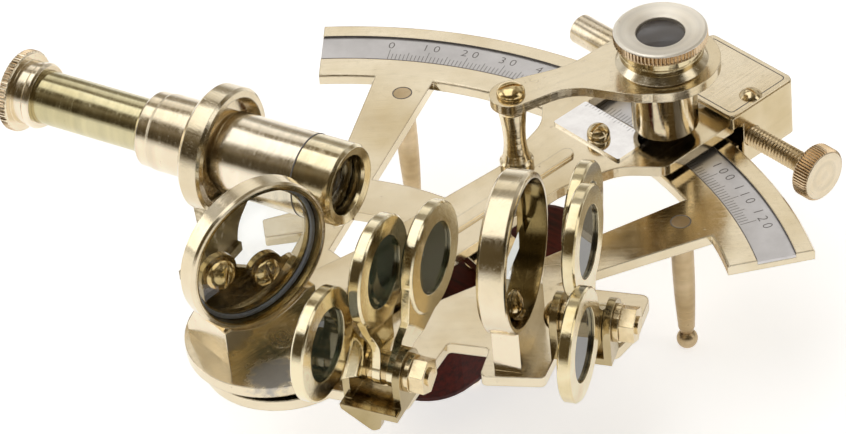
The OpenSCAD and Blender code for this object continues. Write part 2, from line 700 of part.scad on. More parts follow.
// The spring plate under the limb that keeps the arm down
module limb_keeper() {
  back = block_end - 2;
  color(brass) on_arm() difference() {
    union() {
      slab(rounded([[block_left + 1, arc_r + 3, 0], [block_left + block_l - 1, arc_r + 3, 0],
        [block_left + block_l - 1, back, 1], [block_left + 1, back, 1]]), -block_drop - 0.8, -block_drop);
      slab(rounded([[block_left + 1, limb_in + 3, 2], [block_left + block_l - 1, limb_in + 3, 2],
        [block_left + block_l - 1, arc_r + 0.6, 0], [block_left + 1, arc_r + 0.6, 0]]),
        -plate_t - 1, -plate_t - 0.2);
      slab([[block_left + 1, arc_r - 0.2], [block_left + block_l - 1, arc_r - 0.2],
        [block_left + block_l - 1, arc_r + 0.6], [block_left + 1, arc_r + 0.6]],
        -block_drop - 0.8, -plate_t - 0.2);
      slab([[block_left + 1, arc_r - 0.2], [block_left + block_l - 1, arc_r - 0.2],
        [block_left + block_l - 1, arc_r + 3.1], [block_left + 1, arc_r + 3.1]],
        -block_drop - 0.8, -block_drop);
    }
    for (x = keeper_x) translate([x, keeper_screw_y, 0])
      rod(0.9 + seat_gap, -block_drop - 2, -block_drop + 1);
  }
}
module keeper_screws() {
  color(pale_brass) on_arm() for (x = keeper_x)
    translate([x, keeper_screw_y, -block_drop - 0.8]) mirror([0, 0, 1])
      dome_screw(1.7, 1, 0.45, 0.9, 0.8 + 3.5);
}
module tangent_screw() {
  r = tangent_d / 2;
  color(pale_brass) on_arm() translate([0, tangent_y, tangent_z]) {
    cross_rod(r, block_left + 6.5, knob_x + 0.1);
    rotate([0, 90, 0]) knurled(knob_d / 2, knob_x, knob_x + knob_t - 0.4, 40, 0.3);
    cross_rod(knob_d / 2 - 0.5, knob_x + knob_t - 0.5, knob_x + knob_t);
  }
}
module tangent_sleeve() {
  color(brass) on_arm() translate([0, sleeve_y, sleeve_z])
    turned_x([[0, sleeve_left], [sleeve_d / 2 - 0.3, sleeve_left], [sleeve_d / 2, sleeve_left + 0.3],
      [sleeve_d / 2, block_left + 5], [0, block_left + 5]]);
}

module magnifier_post() {
  top = swing_z - 0.05;
  r = post_d / 2;
  color(pale_brass) on_arm() translate(concat(post_at, [0])) difference() {
    union() {
      rotate_extrude() polygon(concat(
        [[0, arm_top], [r, arm_top], [r, arm_top + 1.6], [r - 0.35, arm_top + 2]],
        [for (i = [0:8]) let (t = i / 8)
          [2.5 - 0.55 * sin(180 * pow(t, 0.75)), arm_top + 2.2 + t * (top - arm_top - 3.6)]],
        [[2.6, top - 1], [2.6, top], [0, top]]));
      rod(1.5, arm_z + 0.1, arm_top + 0.1);
    }
    rod(1 + seat_gap, top - 5, top + 1);
  }
}
module post_finial() {
  color(brass) on_arm() translate([post_at[0], post_at[1], swing_h + 0.05]) {
    rod(1.9, 0, 0.5);
    translate([0, 0, 0.4]) intersection() {
      translate([0, 0, -0.6]) sphere(r = 2.4);
      cylinder(r = 3, h = 3);
    }
    rod(1, -swing_t - 4.9, 0.1);
  }
}
// S-shaped arm: a small eye on the post, a waist, and a ring with a cone round the barrel
module magnifier_arm() {
  ring_r = barrel_d / 2 + 4.3;
  turn = atan2(magnifier_at[1] - post_at[1], magnifier_at[0] - post_at[0]);
  color(pale_brass) on_arm() translate(concat(post_at, [0])) rotate([0, 0, turn]) difference() {
    union() {
      rod(3.7, swing_z, swing_h);
      translate([swing_r, 0, 0]) rod(ring_r, swing_z, swing_h);
      slab(rounded([[0.2, -3.69, 0], [swing_r * 0.38, -1.6, 9], [swing_r - 5, -ring_r * 0.98, 12],
        [swing_r, -ring_r + 1, 0], [swing_r, ring_r - 1, 0], [swing_r - 4, ring_r * 0.92, 8],
        [swing_r * 0.42, 3.9, 14], [0.2, 3.69, 0]], 6), swing_z, swing_h);
      translate([swing_r, 0, swing_h - 0.01]) cylinder(r1 = barrel_d / 2 + 2.2, r2 = barrel_d / 2 + 1, h = 1.2);
    }
    rod(1 + run_gap, swing_z - 1, swing_h + 1);
    translate([swing_r, 0, 0]) rod(barrel_d / 2 + run_gap, swing_z - 1, swing_h + 3);
  }
}
module on_magnifier() { on_arm() translate(concat(magnifier_at, [0])) children(); }
module magnifier_barrel() {
  color(brass) on_magnifier() difference() {
    rod(barrel_d / 2, barrel_z, cap_top - 2.6);
    rod(barrel_d / 2 - 0.8, barrel_z - 1, cap_top - 3.8);
    rod(barrel_d / 2 - 1.6, barrel_z, cap_top);
  }
}
module magnifier_cap() {
  r = cap_d / 2;
  low = swing_h + 1.3;
  color(pale_brass) on_magnifier() difference() {
    union() {
      rod(barrel_d / 2 + 1, low, cap_top - 2.1);
      knurled(r, cap_top - 2.2, cap_top - 0.4, 56, 0.25);
      translate([0, 0, cap_top - 0.4]) cylinder(r1 = r - 0.3, r2 = r - 0.7, h = 0.4);
    }
    rod(barrel_d / 2 + seat_gap, low - 1, cap_top - 2.6 + seat_gap);
    rod(4.2, low, cap_top + 1);
    translate([0, 0, cap_top - 1.2]) cylinder(r1 = 4.2, r2 = r - 1.2, h = 1.21);
  }
}
// A lens turned about z: both faces are arcs that fall away by `sag` at the rim, the rim is `edge` high
module lens(r, edge, sag, low) {
  steps = 6;
  translate([0, 0, low]) rotate_extrude() polygon(concat(
    [for (i = [0:steps]) let (x = i / steps) [r * x, sag * x * x]],
    [for (i = [steps:-1:0]) let (x = i / steps) [r * x, edge + 2 * sag - sag * x * x]]));
}
module magnifier_lens() {
  color(glass) on_magnifier() lens(barrel_d / 2 - 0.8 - seat_gap, 1.4, 0.7, cap_top - 6.7);
}

module telescope_bracket() {
  r = holder_d / 2;
  bore = tube_d / 2 - 0.6;
  color(brass) difference() {
    union() {
      on_scope() turned_x([[bore + seat_gap, -holder_x - holder_t], [r - 0.8, -holder_x - holder_t],
        [r, -holder_x - holder_t + 0.8], [r, -holder_x - 0.5], [r - 0.5, -holder_x],
        [r - 1.6, -holder_x], [r - 2.2, -holder_x - 2.2], [bore + seat_gap, -holder_x - 2.2]]);
      on_scope() translate([-holder_x - holder_t + 0.6, 0, 0]) rotate([90, 0, 90]) linear_extrude(holder_t - 1.6)
        polygon(rounded([[-8, -r * 0.55, 0], [-7, -axis_h + 1, 0], [-1.6, -axis_h + 1, 0], [-0.8, -axis_h + 5, 5],
          [3.8, -r - 1.4, 3], [5, -r * 0.8, 0]]));
      on_scope() translate([-holder_x - holder_t - 1, -12.5, -axis_h]) cube([holder_t + 0.6, 11.3, 1.8]);
    }
    for (p = [scope_screw_a, scope_screw_b]) translate(p) rod(screw_r + seat_gap, -1, 3);
  }
}
scope_dir = [cos(scope_turn), sin(scope_turn)];
scope_screw_a = scope_at - (holder_x + holder_t / 2 + 0.8) * scope_dir + 10.2 * [scope_dir[1], -scope_dir[0]];
scope_screw_b = scope_at - (holder_x + holder_t / 2 + 0.8) * scope_dir + 4.4 * [scope_dir[1], -scope_dir[0]];
index_screw = index_nut + (ear_inner - bracket_in / 2) * [cos(index_bolt_turn), sin(index_bolt_turn)]
  + base_screw_y * [-sin(index_bolt_turn), cos(index_bolt_turn)];
horizon_screw = on_tab(horizon_nut[0] + ear_inner - bracket_in / 2, horizon_nut[1] + base_screw_y);
horizon_screw_y = [-4.2, 6.4];
horizon_mirror_a = on_tab(4.1, 9.3 + horizon_screw_y[0]);
horizon_mirror_b = on_tab(4.1, 9.3 + horizon_screw_y[1]);
frame_screw_places = [scope_screw_a, scope_screw_b, index_screw, horizon_screw, horizon_mirror_a,
  horizon_mirror_b];
// Screws that come up through the frame from below into what stands on it
module frame_screws() {
  color(pale_brass) for (p = frame_screw_places) translate([p[0], p[1], -plate_t]) mirror([0, 0, 1])
    dome_screw(head_r, 1.4, 0.5, screw_r, plate_t + 1.1);
}
module telescope_tube() {
  r = tube_d / 2;
  c = collar_d / 2;
  neck = r - 0.6;
  b = draw_d / 2 + run_gap;
  color(pale_brass) on_scope() turned_x([
    [r - tube_wall, -cell_l], [r, -cell_l], [r, -holder_x + 0.1], [r - 0.2, -holder_x],
    [r - 0.2, -holder_x - 2.1], [neck, -holder_x - 2.1], [neck, -holder_x - holder_t - 0.1],
    [c, -holder_x - holder_t - 0.1], [c, -tube_l + 3], [c - 0.15, -tube_l + 2.9], [c - 0.15, -tube_l + 2.7],
    [c - 0.2, -tube_l + 2.6], [c - 0.2, -tube_l + 0.6], [c - 0.8, -tube_l], [b, -tube_l],
    [b, -tube_l + 9], [r - tube_wall, -tube_l + 9]]);
}
module objective_cell() {
  r = tube_d / 2;
  color(pale_brass) on_scope() turned_x([
    [r - tube_wall - 0.9, -cell_l + 0.1], [r, -cell_l + 0.1], [r + 0.05, -0.6], [r - 0.4, 0], [r - 1.8, -0.4],
    [r - 2, -1], [r - 2, -2.4], [r - tube_wall - 0.3, -2.4],
    [r - tube_wall - 0.3, -cell_l + 1.2], [r - tube_wall - 0.9, -cell_l + 1.2]]);
}
module objective_lens() {
  color(glass) on_scope() rotate([0, 90, 0])
    lens(tube_d / 2 - tube_wall - 0.3 - seat_gap, 1.8, 0.7, -cell_l + 1.9);
}
module draw_tube() {
  r = draw_d / 2;
  color("#dccf7c") on_scope() difference() {
    cross_rod(r, -draw_back - 3.45, -tube_l + 13);
    cross_rod(r - 0.6, -draw_back - 5, -tube_l + 14);
  }
}
module eyepiece() {
  r = eye_d / 2;
  d = draw_d / 2 + seat_gap;
  color(pale_brass) on_scope() difference() {
    union() {
      turned_x([[0, -draw_back - 3.8], [r - 1.5, -draw_back - 3.8], [r - 1.6, -draw_back - 1.6],
        [r - 1.3, -draw_back - 1.3], [r - 1.3, -draw_back - 0.5], [r - 1.6, -draw_back], [0, -draw_back]]);
      rotate([0, 90, 0]) knurled(r, -draw_back - eye_l + 0.2, -draw_back - 3.9, 48, 0.2);
      cross_rod(r - 0.3, -draw_back - 4, -draw_back - 3.7);
      cross_rod(r - 0.4, -draw_back - eye_l, -draw_back - eye_l + 0.3);
    }
    cross_rod(d, -draw_back - 3.5, -draw_back + 1);
    cross_rod(3, -draw_back - 9, -draw_back);
    turned_x([[0, -draw_back - 7], [6.2, -draw_back - 7], [6, -draw_back - eye_l],
      [3, -draw_back - eye_l + 1.2], [0, -draw_back - eye_l + 1.2]]);
  }
}
module eye_lens() {
  color(glass) on_scope() rotate([0, 90, 0]) lens(draw_d / 2 - 0.6 - seat_gap, 1, 0.5, -draw_back - 3.45);
}

// A channel of sheet metal with rounded ears, in the frame of its bolt
module shade_bracket(tongue) {
  half = ear_w / 2;
  difference() {
    union() {
      for (x = [ear_outer, ear_inner]) translate([x, 0, 0]) {
        translate([0, -half, 0]) cube([ear_t, ear_w, bolt_h]);
        translate([0, 0, bolt_h]) cross_rod(half, 0, ear_t);
      }
      translate([ear_outer, -half, 0]) cube([bracket_in + 2 * ear_t, ear_w, ear_t]);
      if (tongue) {
        translate([ear_outer, -half - 0.6, 0]) cube([bracket_in + 2 * ear_t, 0.7, ear_t]);
        translate([0, -half - 0.6, 0]) rotate([90, 0, 0]) linear_extrude(ear_t)
          polygon(rounded([[ear_outer, ear_t, 0], [ear_outer + 0.2, 0.4, 0.5], [ear_outer + 5.6, -plate_t - 1, 1],
            [ear_outer + 7, -plate_t - 0.1, 0.8], [ear_outer + 7.4, 0, 0],
            [ear_outer + bracket_in + 2 * ear_t, 0, 0], [ear_outer + bracket_in + 2 * ear_t, ear_t, 0.4]]));
      }
    }
    translate([0, 0, bolt_h]) cross_rod(bolt_d / 2 + run_gap, ear_outer - 1, 1);
    translate([(ear_outer + ear_inner + ear_t) / 2, base_screw_y, 0]) rod(screw_r + seat_gap, -1, ear_t + 1);
  }
}
module index_shade_bracket() { color(brass) on_index_bolt() shade_bracket(true); }
module horizon_shade_bracket() { color(brass) on_horizon_bolt() shade_bracket(false); }
module shade_bolt() {
  translate([0, 0, bolt_h]) {
    cross_rod(bolt_d / 2, ear_outer - 0.1, 2.1);
    translate([ear_outer, 0, 0]) rotate([0, -90, 0]) dome_head(2.7, 1.9, 0.6);
  }
}
module shade_bolts() {
  color(pale_brass) {
    on_index_bolt() shade_bolt();
    on_horizon_bolt() shade_bolt();
  }
}
module shade_nut() {
  translate([0, 0, bolt_h]) difference() {
    translate([-0.8, 0, 0]) rotate([0, 90, 0]) cylinder(r = nut_w / 2 / cos(30), h = 2.5, $fn = 6);
    cross_rod(bolt_d / 2 + seat_gap, -2, 3);
  }
}
module shade_nuts() {
  color(brass) {
    on_index_bolt() shade_nut();
    on_horizon_bolt() shade_nut();
  }
}
spacer_t = shade_pitch - stem_t - 0.1;
function stem_front(i) = ear_inner - 0.1 - i * shade_pitch;
module spacer(x, t, r) {
  translate([0, 0, bolt_h]) difference() {
    cross_rod(r, x, x + t);
    cross_rod(bolt_d / 2 + run_gap, x - 1, x + t + 1);
  }
}
module spacer_set() {
  for (i = [1:3]) spacer(stem_front(i) + 0.05, spacer_t, bolt_d / 2 + 1.2);
  spacer(ear_inner + ear_t + 0.05, 1, bolt_d / 2 + 1.7);
}
module shade_spacers() {
  color(pale_brass) {
    on_index_bolt() spacer_set();
    on_horizon_bolt() spacer_set();
  }
}
// One shade: an eye on the bolt, a stem that may be set over, and the ring with a seat for its glass
module shade(i, swing, reach, lean) {
  front = stem_front(i);
  mid = front - stem_t / 2;
  eye = bolt_d / 2 + 1.4;
  neck_w = shade_d * 0.42;
  top = reach - shade_d * 0.25;
  color(pale_brass) translate([0, 0, bolt_h]) rotate([-swing, 0, 0]) difference() {
    union() {
      cross_rod(eye, front - stem_t, front);
      intersection() {
        translate([front - stem_t - 3, 0, 0]) rotate([90, 0, 90]) linear_extrude(stem_t + 6)
          polygon(rounded([[-eye + 0.05, 0, 0], [-eye * 0.78, reach * 0.27, 8], [-neck_w, top, 0.6],
            [0, top, 0], [neck_w, top, 0.6], [eye * 0.78, reach * 0.27, 8], [eye - 0.05, 0, 0]]));
        rotate([90, 0, 0]) translate([0, 0, -shade_d / 2]) linear_extrude(shade_d)
          polygon(lean == 0
            ? [[front - stem_t, 0], [front - stem_t, reach], [front, reach], [front, 0]]
            : rounded([[front - stem_t, 0, 0], [front - stem_t, 4.6, 3], [front - stem_t + lean, 7.4, 3],
              [front - stem_t + lean, reach, 0], [front + lean, reach, 0], [front + lean, 7.4, 3],
              [front, 4.6, 3], [front, 0, 0]]));
      }
      translate([mid + lean, 0, reach]) turned_x([[shade_bore / 2, -shade_t / 2],
        [shade_d / 2 - 0.3, -shade_t / 2], [shade_d / 2, -shade_t / 2 + 0.3],
        [shade_d / 2, shade_t / 2 - 0.3], [shade_d / 2 - 0.3, shade_t / 2], [shade_bore / 2, shade_t / 2]]);
    }
    cross_rod(bolt_d / 2 + run_gap, front - 3, front + 3);
    translate([mid + lean, 0, reach]) cross_rod(shade_bore / 2, -2, 2);
    translate([mid + lean, 0, reach]) cross_rod(shade_bore / 2 + 0.6, -2, shade_t / 2 - 0.5);
  }
}
module shade_pane(i, swing, reach, lean) {
  mid = stem_front(i) - stem_t / 2 + lean;
  color(glass) translate([0, 0, bolt_h]) rotate([-swing, 0, 0]) translate([mid, 0, reach])
    cross_rod(shade_bore / 2 + 0.6 - seat_gap, shade_t / 2 - 0.52 - 1, shade_t / 2 - 0.52);
}
module index_shade(k) {
  on_index_bolt() shade(2 - k, index_swings[k], index_reach + index_extras[k], index_leans[k]);
}
module index_pane(k) {
  on_index_bolt() shade_pane(2 - k, index_swings[k], index_reach + index_extras[k], index_leans[k]);
}
module horizon_shade(k) {
  on_horizon_bolt() shade(2 - k, horizon_swings[k], horizon_reach, horizon_leans[k]);
}
module horizon_pane(k) {
  on_horizon_bolt() shade_pane(2 - k, horizon_swings[k], horizon_reach, horizon_leans[k]);
}
// Index shades are counted from the index mirror outwards, horizon shades from the horizon mirror
module index_shade_1() { index_shade(0); }
module index_shade_2() { index_shade(1); }
module index_shade_3() { index_shade(2); }
module index_shade_glass_1() { index_pane(0); }
module index_shade_glass_2() { index_pane(1); }
module index_shade_glass_3() { index_pane(2); }
module horizon_shade_1() { horizon_shade(0); }
module horizon_shade_2() { horizon_shade(1); }
module horizon_shade_3() { horizon_shade(2); }
module horizon_shade_glass_1() { horizon_pane(0); }
module horizon_shade_glass_2() { horizon_pane(1); }
module horizon_shade_glass_3() { horizon_pane(2); }

place() frame();
place() scale_strip();
place() left_foot();
place() right_foot();
place() handle();
place() handle_pillars();
place() handle_screws();
place() handle_foot();
place() centre_bush();
place() index_arm();
place() index_pivot();
place() pivot_washer();
place() pivot_screw();
place() index_mirror_frame();
place() index_mirror_glass();
place() index_mirror_screws();
place() index_back_screws();
place() vernier_plate();
place() vernier_screw();
place() vernier_block();
place() cover_plate();
place() cover_screws();
place() limb_keeper();
place() keeper_screws();
place() tangent_screw();
place() tangent_sleeve();
place() magnifier_post();
place() post_finial();
place() magnifier_arm();
place() magnifier_barrel();
place() magnifier_cap();
place() magnifier_lens();
place() telescope_bracket();
place() telescope_tube();
place() objective_cell();
place() objective_lens();
place() draw_tube();
place() eyepiece();
place() eye_lens();
place() horizon_mirror_frame();
place() horizon_mirror_glass();
place() horizon_glass_clip();
place() index_shade_bracket();
place() horizon_shade_bracket();
place() frame_screws();
place() shade_bolts();
place() shade_nuts();
place() shade_spacers();
place() index_shade_1();
place() index_shade_2();
place() index_shade_3();
place() horizon_shade_1();
place() horizon_shade_2();
place() horizon_shade_3();
place() index_shade_glass_1();
place() index_shade_glass_2();
place() index_shade_glass_3();
place() horizon_shade_glass_1();
place() horizon_shade_glass_2();
place() horizon_shade_glass_3();
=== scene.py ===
"""Looks of the pocket sextant, built on its packed construction model, in metres."""

import math

import bmesh
import bpy
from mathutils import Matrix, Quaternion, Vector


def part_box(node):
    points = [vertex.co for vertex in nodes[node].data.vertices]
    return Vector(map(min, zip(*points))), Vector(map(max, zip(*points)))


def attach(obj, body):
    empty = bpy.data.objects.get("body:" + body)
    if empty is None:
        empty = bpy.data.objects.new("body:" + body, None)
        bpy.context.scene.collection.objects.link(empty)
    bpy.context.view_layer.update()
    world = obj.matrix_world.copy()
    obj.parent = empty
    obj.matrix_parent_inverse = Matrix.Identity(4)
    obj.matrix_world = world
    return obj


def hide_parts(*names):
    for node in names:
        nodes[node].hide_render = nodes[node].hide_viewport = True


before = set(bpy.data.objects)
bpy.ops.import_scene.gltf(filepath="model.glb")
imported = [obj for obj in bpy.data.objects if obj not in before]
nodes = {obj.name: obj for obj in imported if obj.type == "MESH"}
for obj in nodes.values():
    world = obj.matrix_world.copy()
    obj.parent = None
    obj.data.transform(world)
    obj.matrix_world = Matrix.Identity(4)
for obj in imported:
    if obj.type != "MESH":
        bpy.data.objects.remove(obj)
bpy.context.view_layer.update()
mm = 0.001

# The view: the photographer stood in front and to the right of the instrument and looked down
# at it through a long lens, with the camera held a little off level.
camera_azimuth, camera_elevation, camera_roll = 45.54, 38.76, -6.18
camera_at = (381.75, -375.21, 454.7)
lens_pixels, photo_pixels, sensor_wide = 4000, 846, 36
camera = bpy.data.objects.new("camera", bpy.data.cameras.new("camera"))
bpy.context.scene.collection.objects.link(camera)
bpy.context.scene.camera = camera
turn, rise = math.radians(camera_azimuth), math.radians(camera_elevation)
towards_camera = Vector(
    (math.sin(turn) * math.cos(rise), -math.cos(turn) * math.cos(rise), math.sin(rise))
)
level_view = (-towards_camera).to_track_quat("-Z", "Y")
camera.rotation_mode = "QUATERNION"
camera.rotation_quaternion = level_view @ Quaternion((0, 0, 1), math.radians(camera_roll))
camera.location = Vector(camera_at) * mm
camera.data.sensor_width = sensor_wide
camera.data.lens = lens_pixels / photo_pixels * sensor_wide
camera.data.clip_start, camera.data.clip_end = 0.01, 50
camera.data.dof.use_dof = False
bpy.context.scene.view_settings.view_transform = "Standard"


# The table: a plain sheet of white card, pale enough to lose itself in the background, that
# still takes the instrument's soft shadow. It glows where it is seen, also in brass and glass.
def adder(tree):
    """Empties a node tree and gives the function that adds its nodes, each with the inputs given:
    an output of another node is joined, and anything else is set."""
    tree.nodes.clear()

    def add(kind, inputs=None, **settings):
        node = tree.nodes.new("ShaderNode" + kind)
        for key, value in settings.items():
            setattr(node, key, value)
        for key, value in (inputs or {}).items():
            if isinstance(value, bpy.types.NodeSocket):
                tree.links.new(value, node.inputs[key])
            else:
                node.inputs[key].default_value = value
        return node

    return add


def material(name):
    """A new material, the function that adds its nodes, and the place being coloured."""
    made = bpy.data.materials.new(name)
    made.use_nodes = True
    add = adder(made.node_tree)
    return made, add, add("TexCoord").outputs["Object"]


def flat_mesh(name, points, faces):
    """A mesh object from points in metres."""
    mesh = bpy.data.meshes.new(name)
    mesh.from_pydata(points, [], faces)
    mesh.update()
    made = bpy.data.objects.new(name, mesh)
    bpy.context.scene.collection.objects.link(made)
    return made


table_half, table_top, table_glow = 4.0, -0.00005, 0.62
card, add, here = material("white_card")
fibre = add("TexNoise", {"Vector": here, "Scale": 900.0, "Detail": 3.0})
white = add("MapRange", {"Value": fibre.outputs["Fac"], "To Min": 0.84, "To Max": 0.88})
paper = add("BsdfPrincipled", {"Base Color": white.outputs["Result"], "Roughness": 0.9})
rays = add("LightPath").outputs
seen = add("Math", {0: rays["Is Camera Ray"], 1: rays["Is Glossy Ray"]}, operation="MAXIMUM")
seen = add("Math", {0: seen.outputs[0], 1: rays["Is Transmission Ray"]}, operation="MAXIMUM")
share = add("Math", {0: seen.outputs[0], 1: table_glow}, operation="MULTIPLY")
glow = add("Emission", {"Color": (1, 1, 1, 1), "Strength": share.outputs[0]})
sheet = add("AddShader", {0: paper.outputs[0], 1: glow.outputs[0]})
lit = add("MixShader", {0: seen.outputs[0], 1: paper.outputs[0], 2: sheet.outputs[0]})
add("OutputMaterial", {"Surface": lit.outputs[0]})
table_corners = [(x * table_half, y * table_half, table_top)
                 for x, y in ((-1, -1), (1, -1), (1, 1), (-1, 1))]
table = flat_mesh("table", table_corners, [(0, 1, 2, 3)])
table.data.materials.append(card)

# The studio: soft boxes stand behind, above and at both sides, so that the brass shows them as
# pale sheets of light. The room is dim behind the photographer and lighter behind the object.
world = bpy.data.worlds.new("studio")
bpy.context.scene.world = world
world.use_nodes = True
add = adder(world.node_tree)
outwards = add("TexCoord").outputs["Generated"]
behind = (-math.sin(turn), math.cos(turn), 0.0)
facing = add("VectorMath", {0: outwards, 1: behind}, operation="DOT_PRODUCT").outputs["Value"]
dim = add("MapRange", {"Value": facing, "From Min": -0.55, "From Max": 0.75,
                       "To Min": 0.07, "To Max": 0.52}, interpolation_type="SMOOTHSTEP")
drift = add("TexNoise", {"Vector": outwards, "Scale": 2.6, "Detail": 1.5}).outputs["Fac"]
patches = add("MapRange", {"Value": drift, "From Min": 0.35, "From Max": 0.65,
                           "To Min": 0.45, "To Max": 1.55}, interpolation_type="SMOOTHSTEP")
dim = add("Math", {0: dim.outputs[0], 1: patches.outputs[0]}, operation="MULTIPLY")
up = add("SeparateXYZ", {0: outwards}).outputs["Z"]
sweep = add("MapRange", {"Value": up, "From Min": 0.02, "From Max": 0.22,
                         "To Min": 0.75, "To Max": 0.0}, interpolation_type="SMOOTHSTEP")
level = add("Math", {0: dim.outputs[0], 1: sweep.outputs[0]}, operation="MAXIMUM").outputs[0]
pale = add("MapRange", {"Value": level, "From Min": 0.12, "From Max": 0.5}).outputs[0]
wall = add("Mix", {0: pale, 6: (1.0, 0.76, 0.40, 1), 7: (1.0, 0.985, 0.96, 1)},
           data_type="RGBA").outputs[2]
sky = add("Background", {"Color": wall, "Strength": level})
add("OutputWorld", {"Surface": sky.outputs[0]})


def soft_box(name, place, aim, size, radiance):
    """A rectangle of light of the given size and brightness, turned towards a point."""
    lamp = bpy.data.lights.new(name, "AREA")
    lamp.shape = "RECTANGLE"
    lamp.size, lamp.size_y = size
    lamp.energy = radiance * math.pi * size[0] * size[1]
    made = bpy.data.objects.new(name, lamp)
    bpy.context.scene.collection.objects.link(made)
    made.location = place
    made.rotation_mode = "QUATERNION"
    made.rotation_quaternion = (Vector(aim) - Vector(place)).to_track_quat("-Z", "Y")


soft_box("back_box", (-0.9, 0.9, 0.98), (0, 0, 0.02), (1.1, 0.55), 0.68)
soft_box("top_box", (-0.25, -0.2, 1.25), (0, 0, 0), (1.3, 1.0), 1.35)
soft_box("left_box", (-1.1, -0.75, 0.6), (0, 0, 0.03), (0.5, 0.9), 1.5)
soft_box("right_box", (1.05, 0.55, 0.6), (0, 0, 0.03), (0.5, 0.9), 1.3)


# The frame: one plate of rolled brass, sawn and filed to its outline, with the limb, two legs
# and the curved cross bar. Its faces are brushed and lacquered and its edges are rubbed bright.
def ramp(add, value, low_at, low, high_at, high):
    """A colour that goes from low to high while the value goes from one place to the other."""
    made = add("ValToRGB", {"Fac": value})
    first, last = made.color_ramp.elements
    first.position, first.color = low_at, (*low, 1)
    last.position, last.color = high_at, (*high, 1)
    return made.outputs["Color"]


def blend(add, share, one, other):
    """Two colours mixed, each the output of a node or plain red, green and blue."""
    one, other = (c if isinstance(c, bpy.types.NodeSocket) else (*c, 1) for c in (one, other))
    return add("Mix", {0: share, 6: one, 7: other}, data_type="RGBA").outputs[2]


def surface(add, looks):
    """Ends a material with its shader."""
    add("OutputMaterial", {"Surface": add("BsdfPrincipled", looks).outputs[0]})


def from_axis(add, here, centre, axis):
    """How far a place lies along an axis, and how far out from it."""
    axis = Vector(axis).normalized()
    off = add("VectorMath", {0: here, 1: Vector(centre)}, operation="SUBTRACT").outputs[0]
    along = add("VectorMath", {0: off, 1: axis}, operation="DOT_PRODUCT").outputs["Value"]
    back = add("VectorMath", {0: axis, "Scale": along}, operation="SCALE").outputs[0]
    spoke = add("VectorMath", {0: off, 1: back}, operation="SUBTRACT").outputs[0]
    return along, add("VectorMath", {0: spoke}, operation="LENGTH").outputs["Value"]


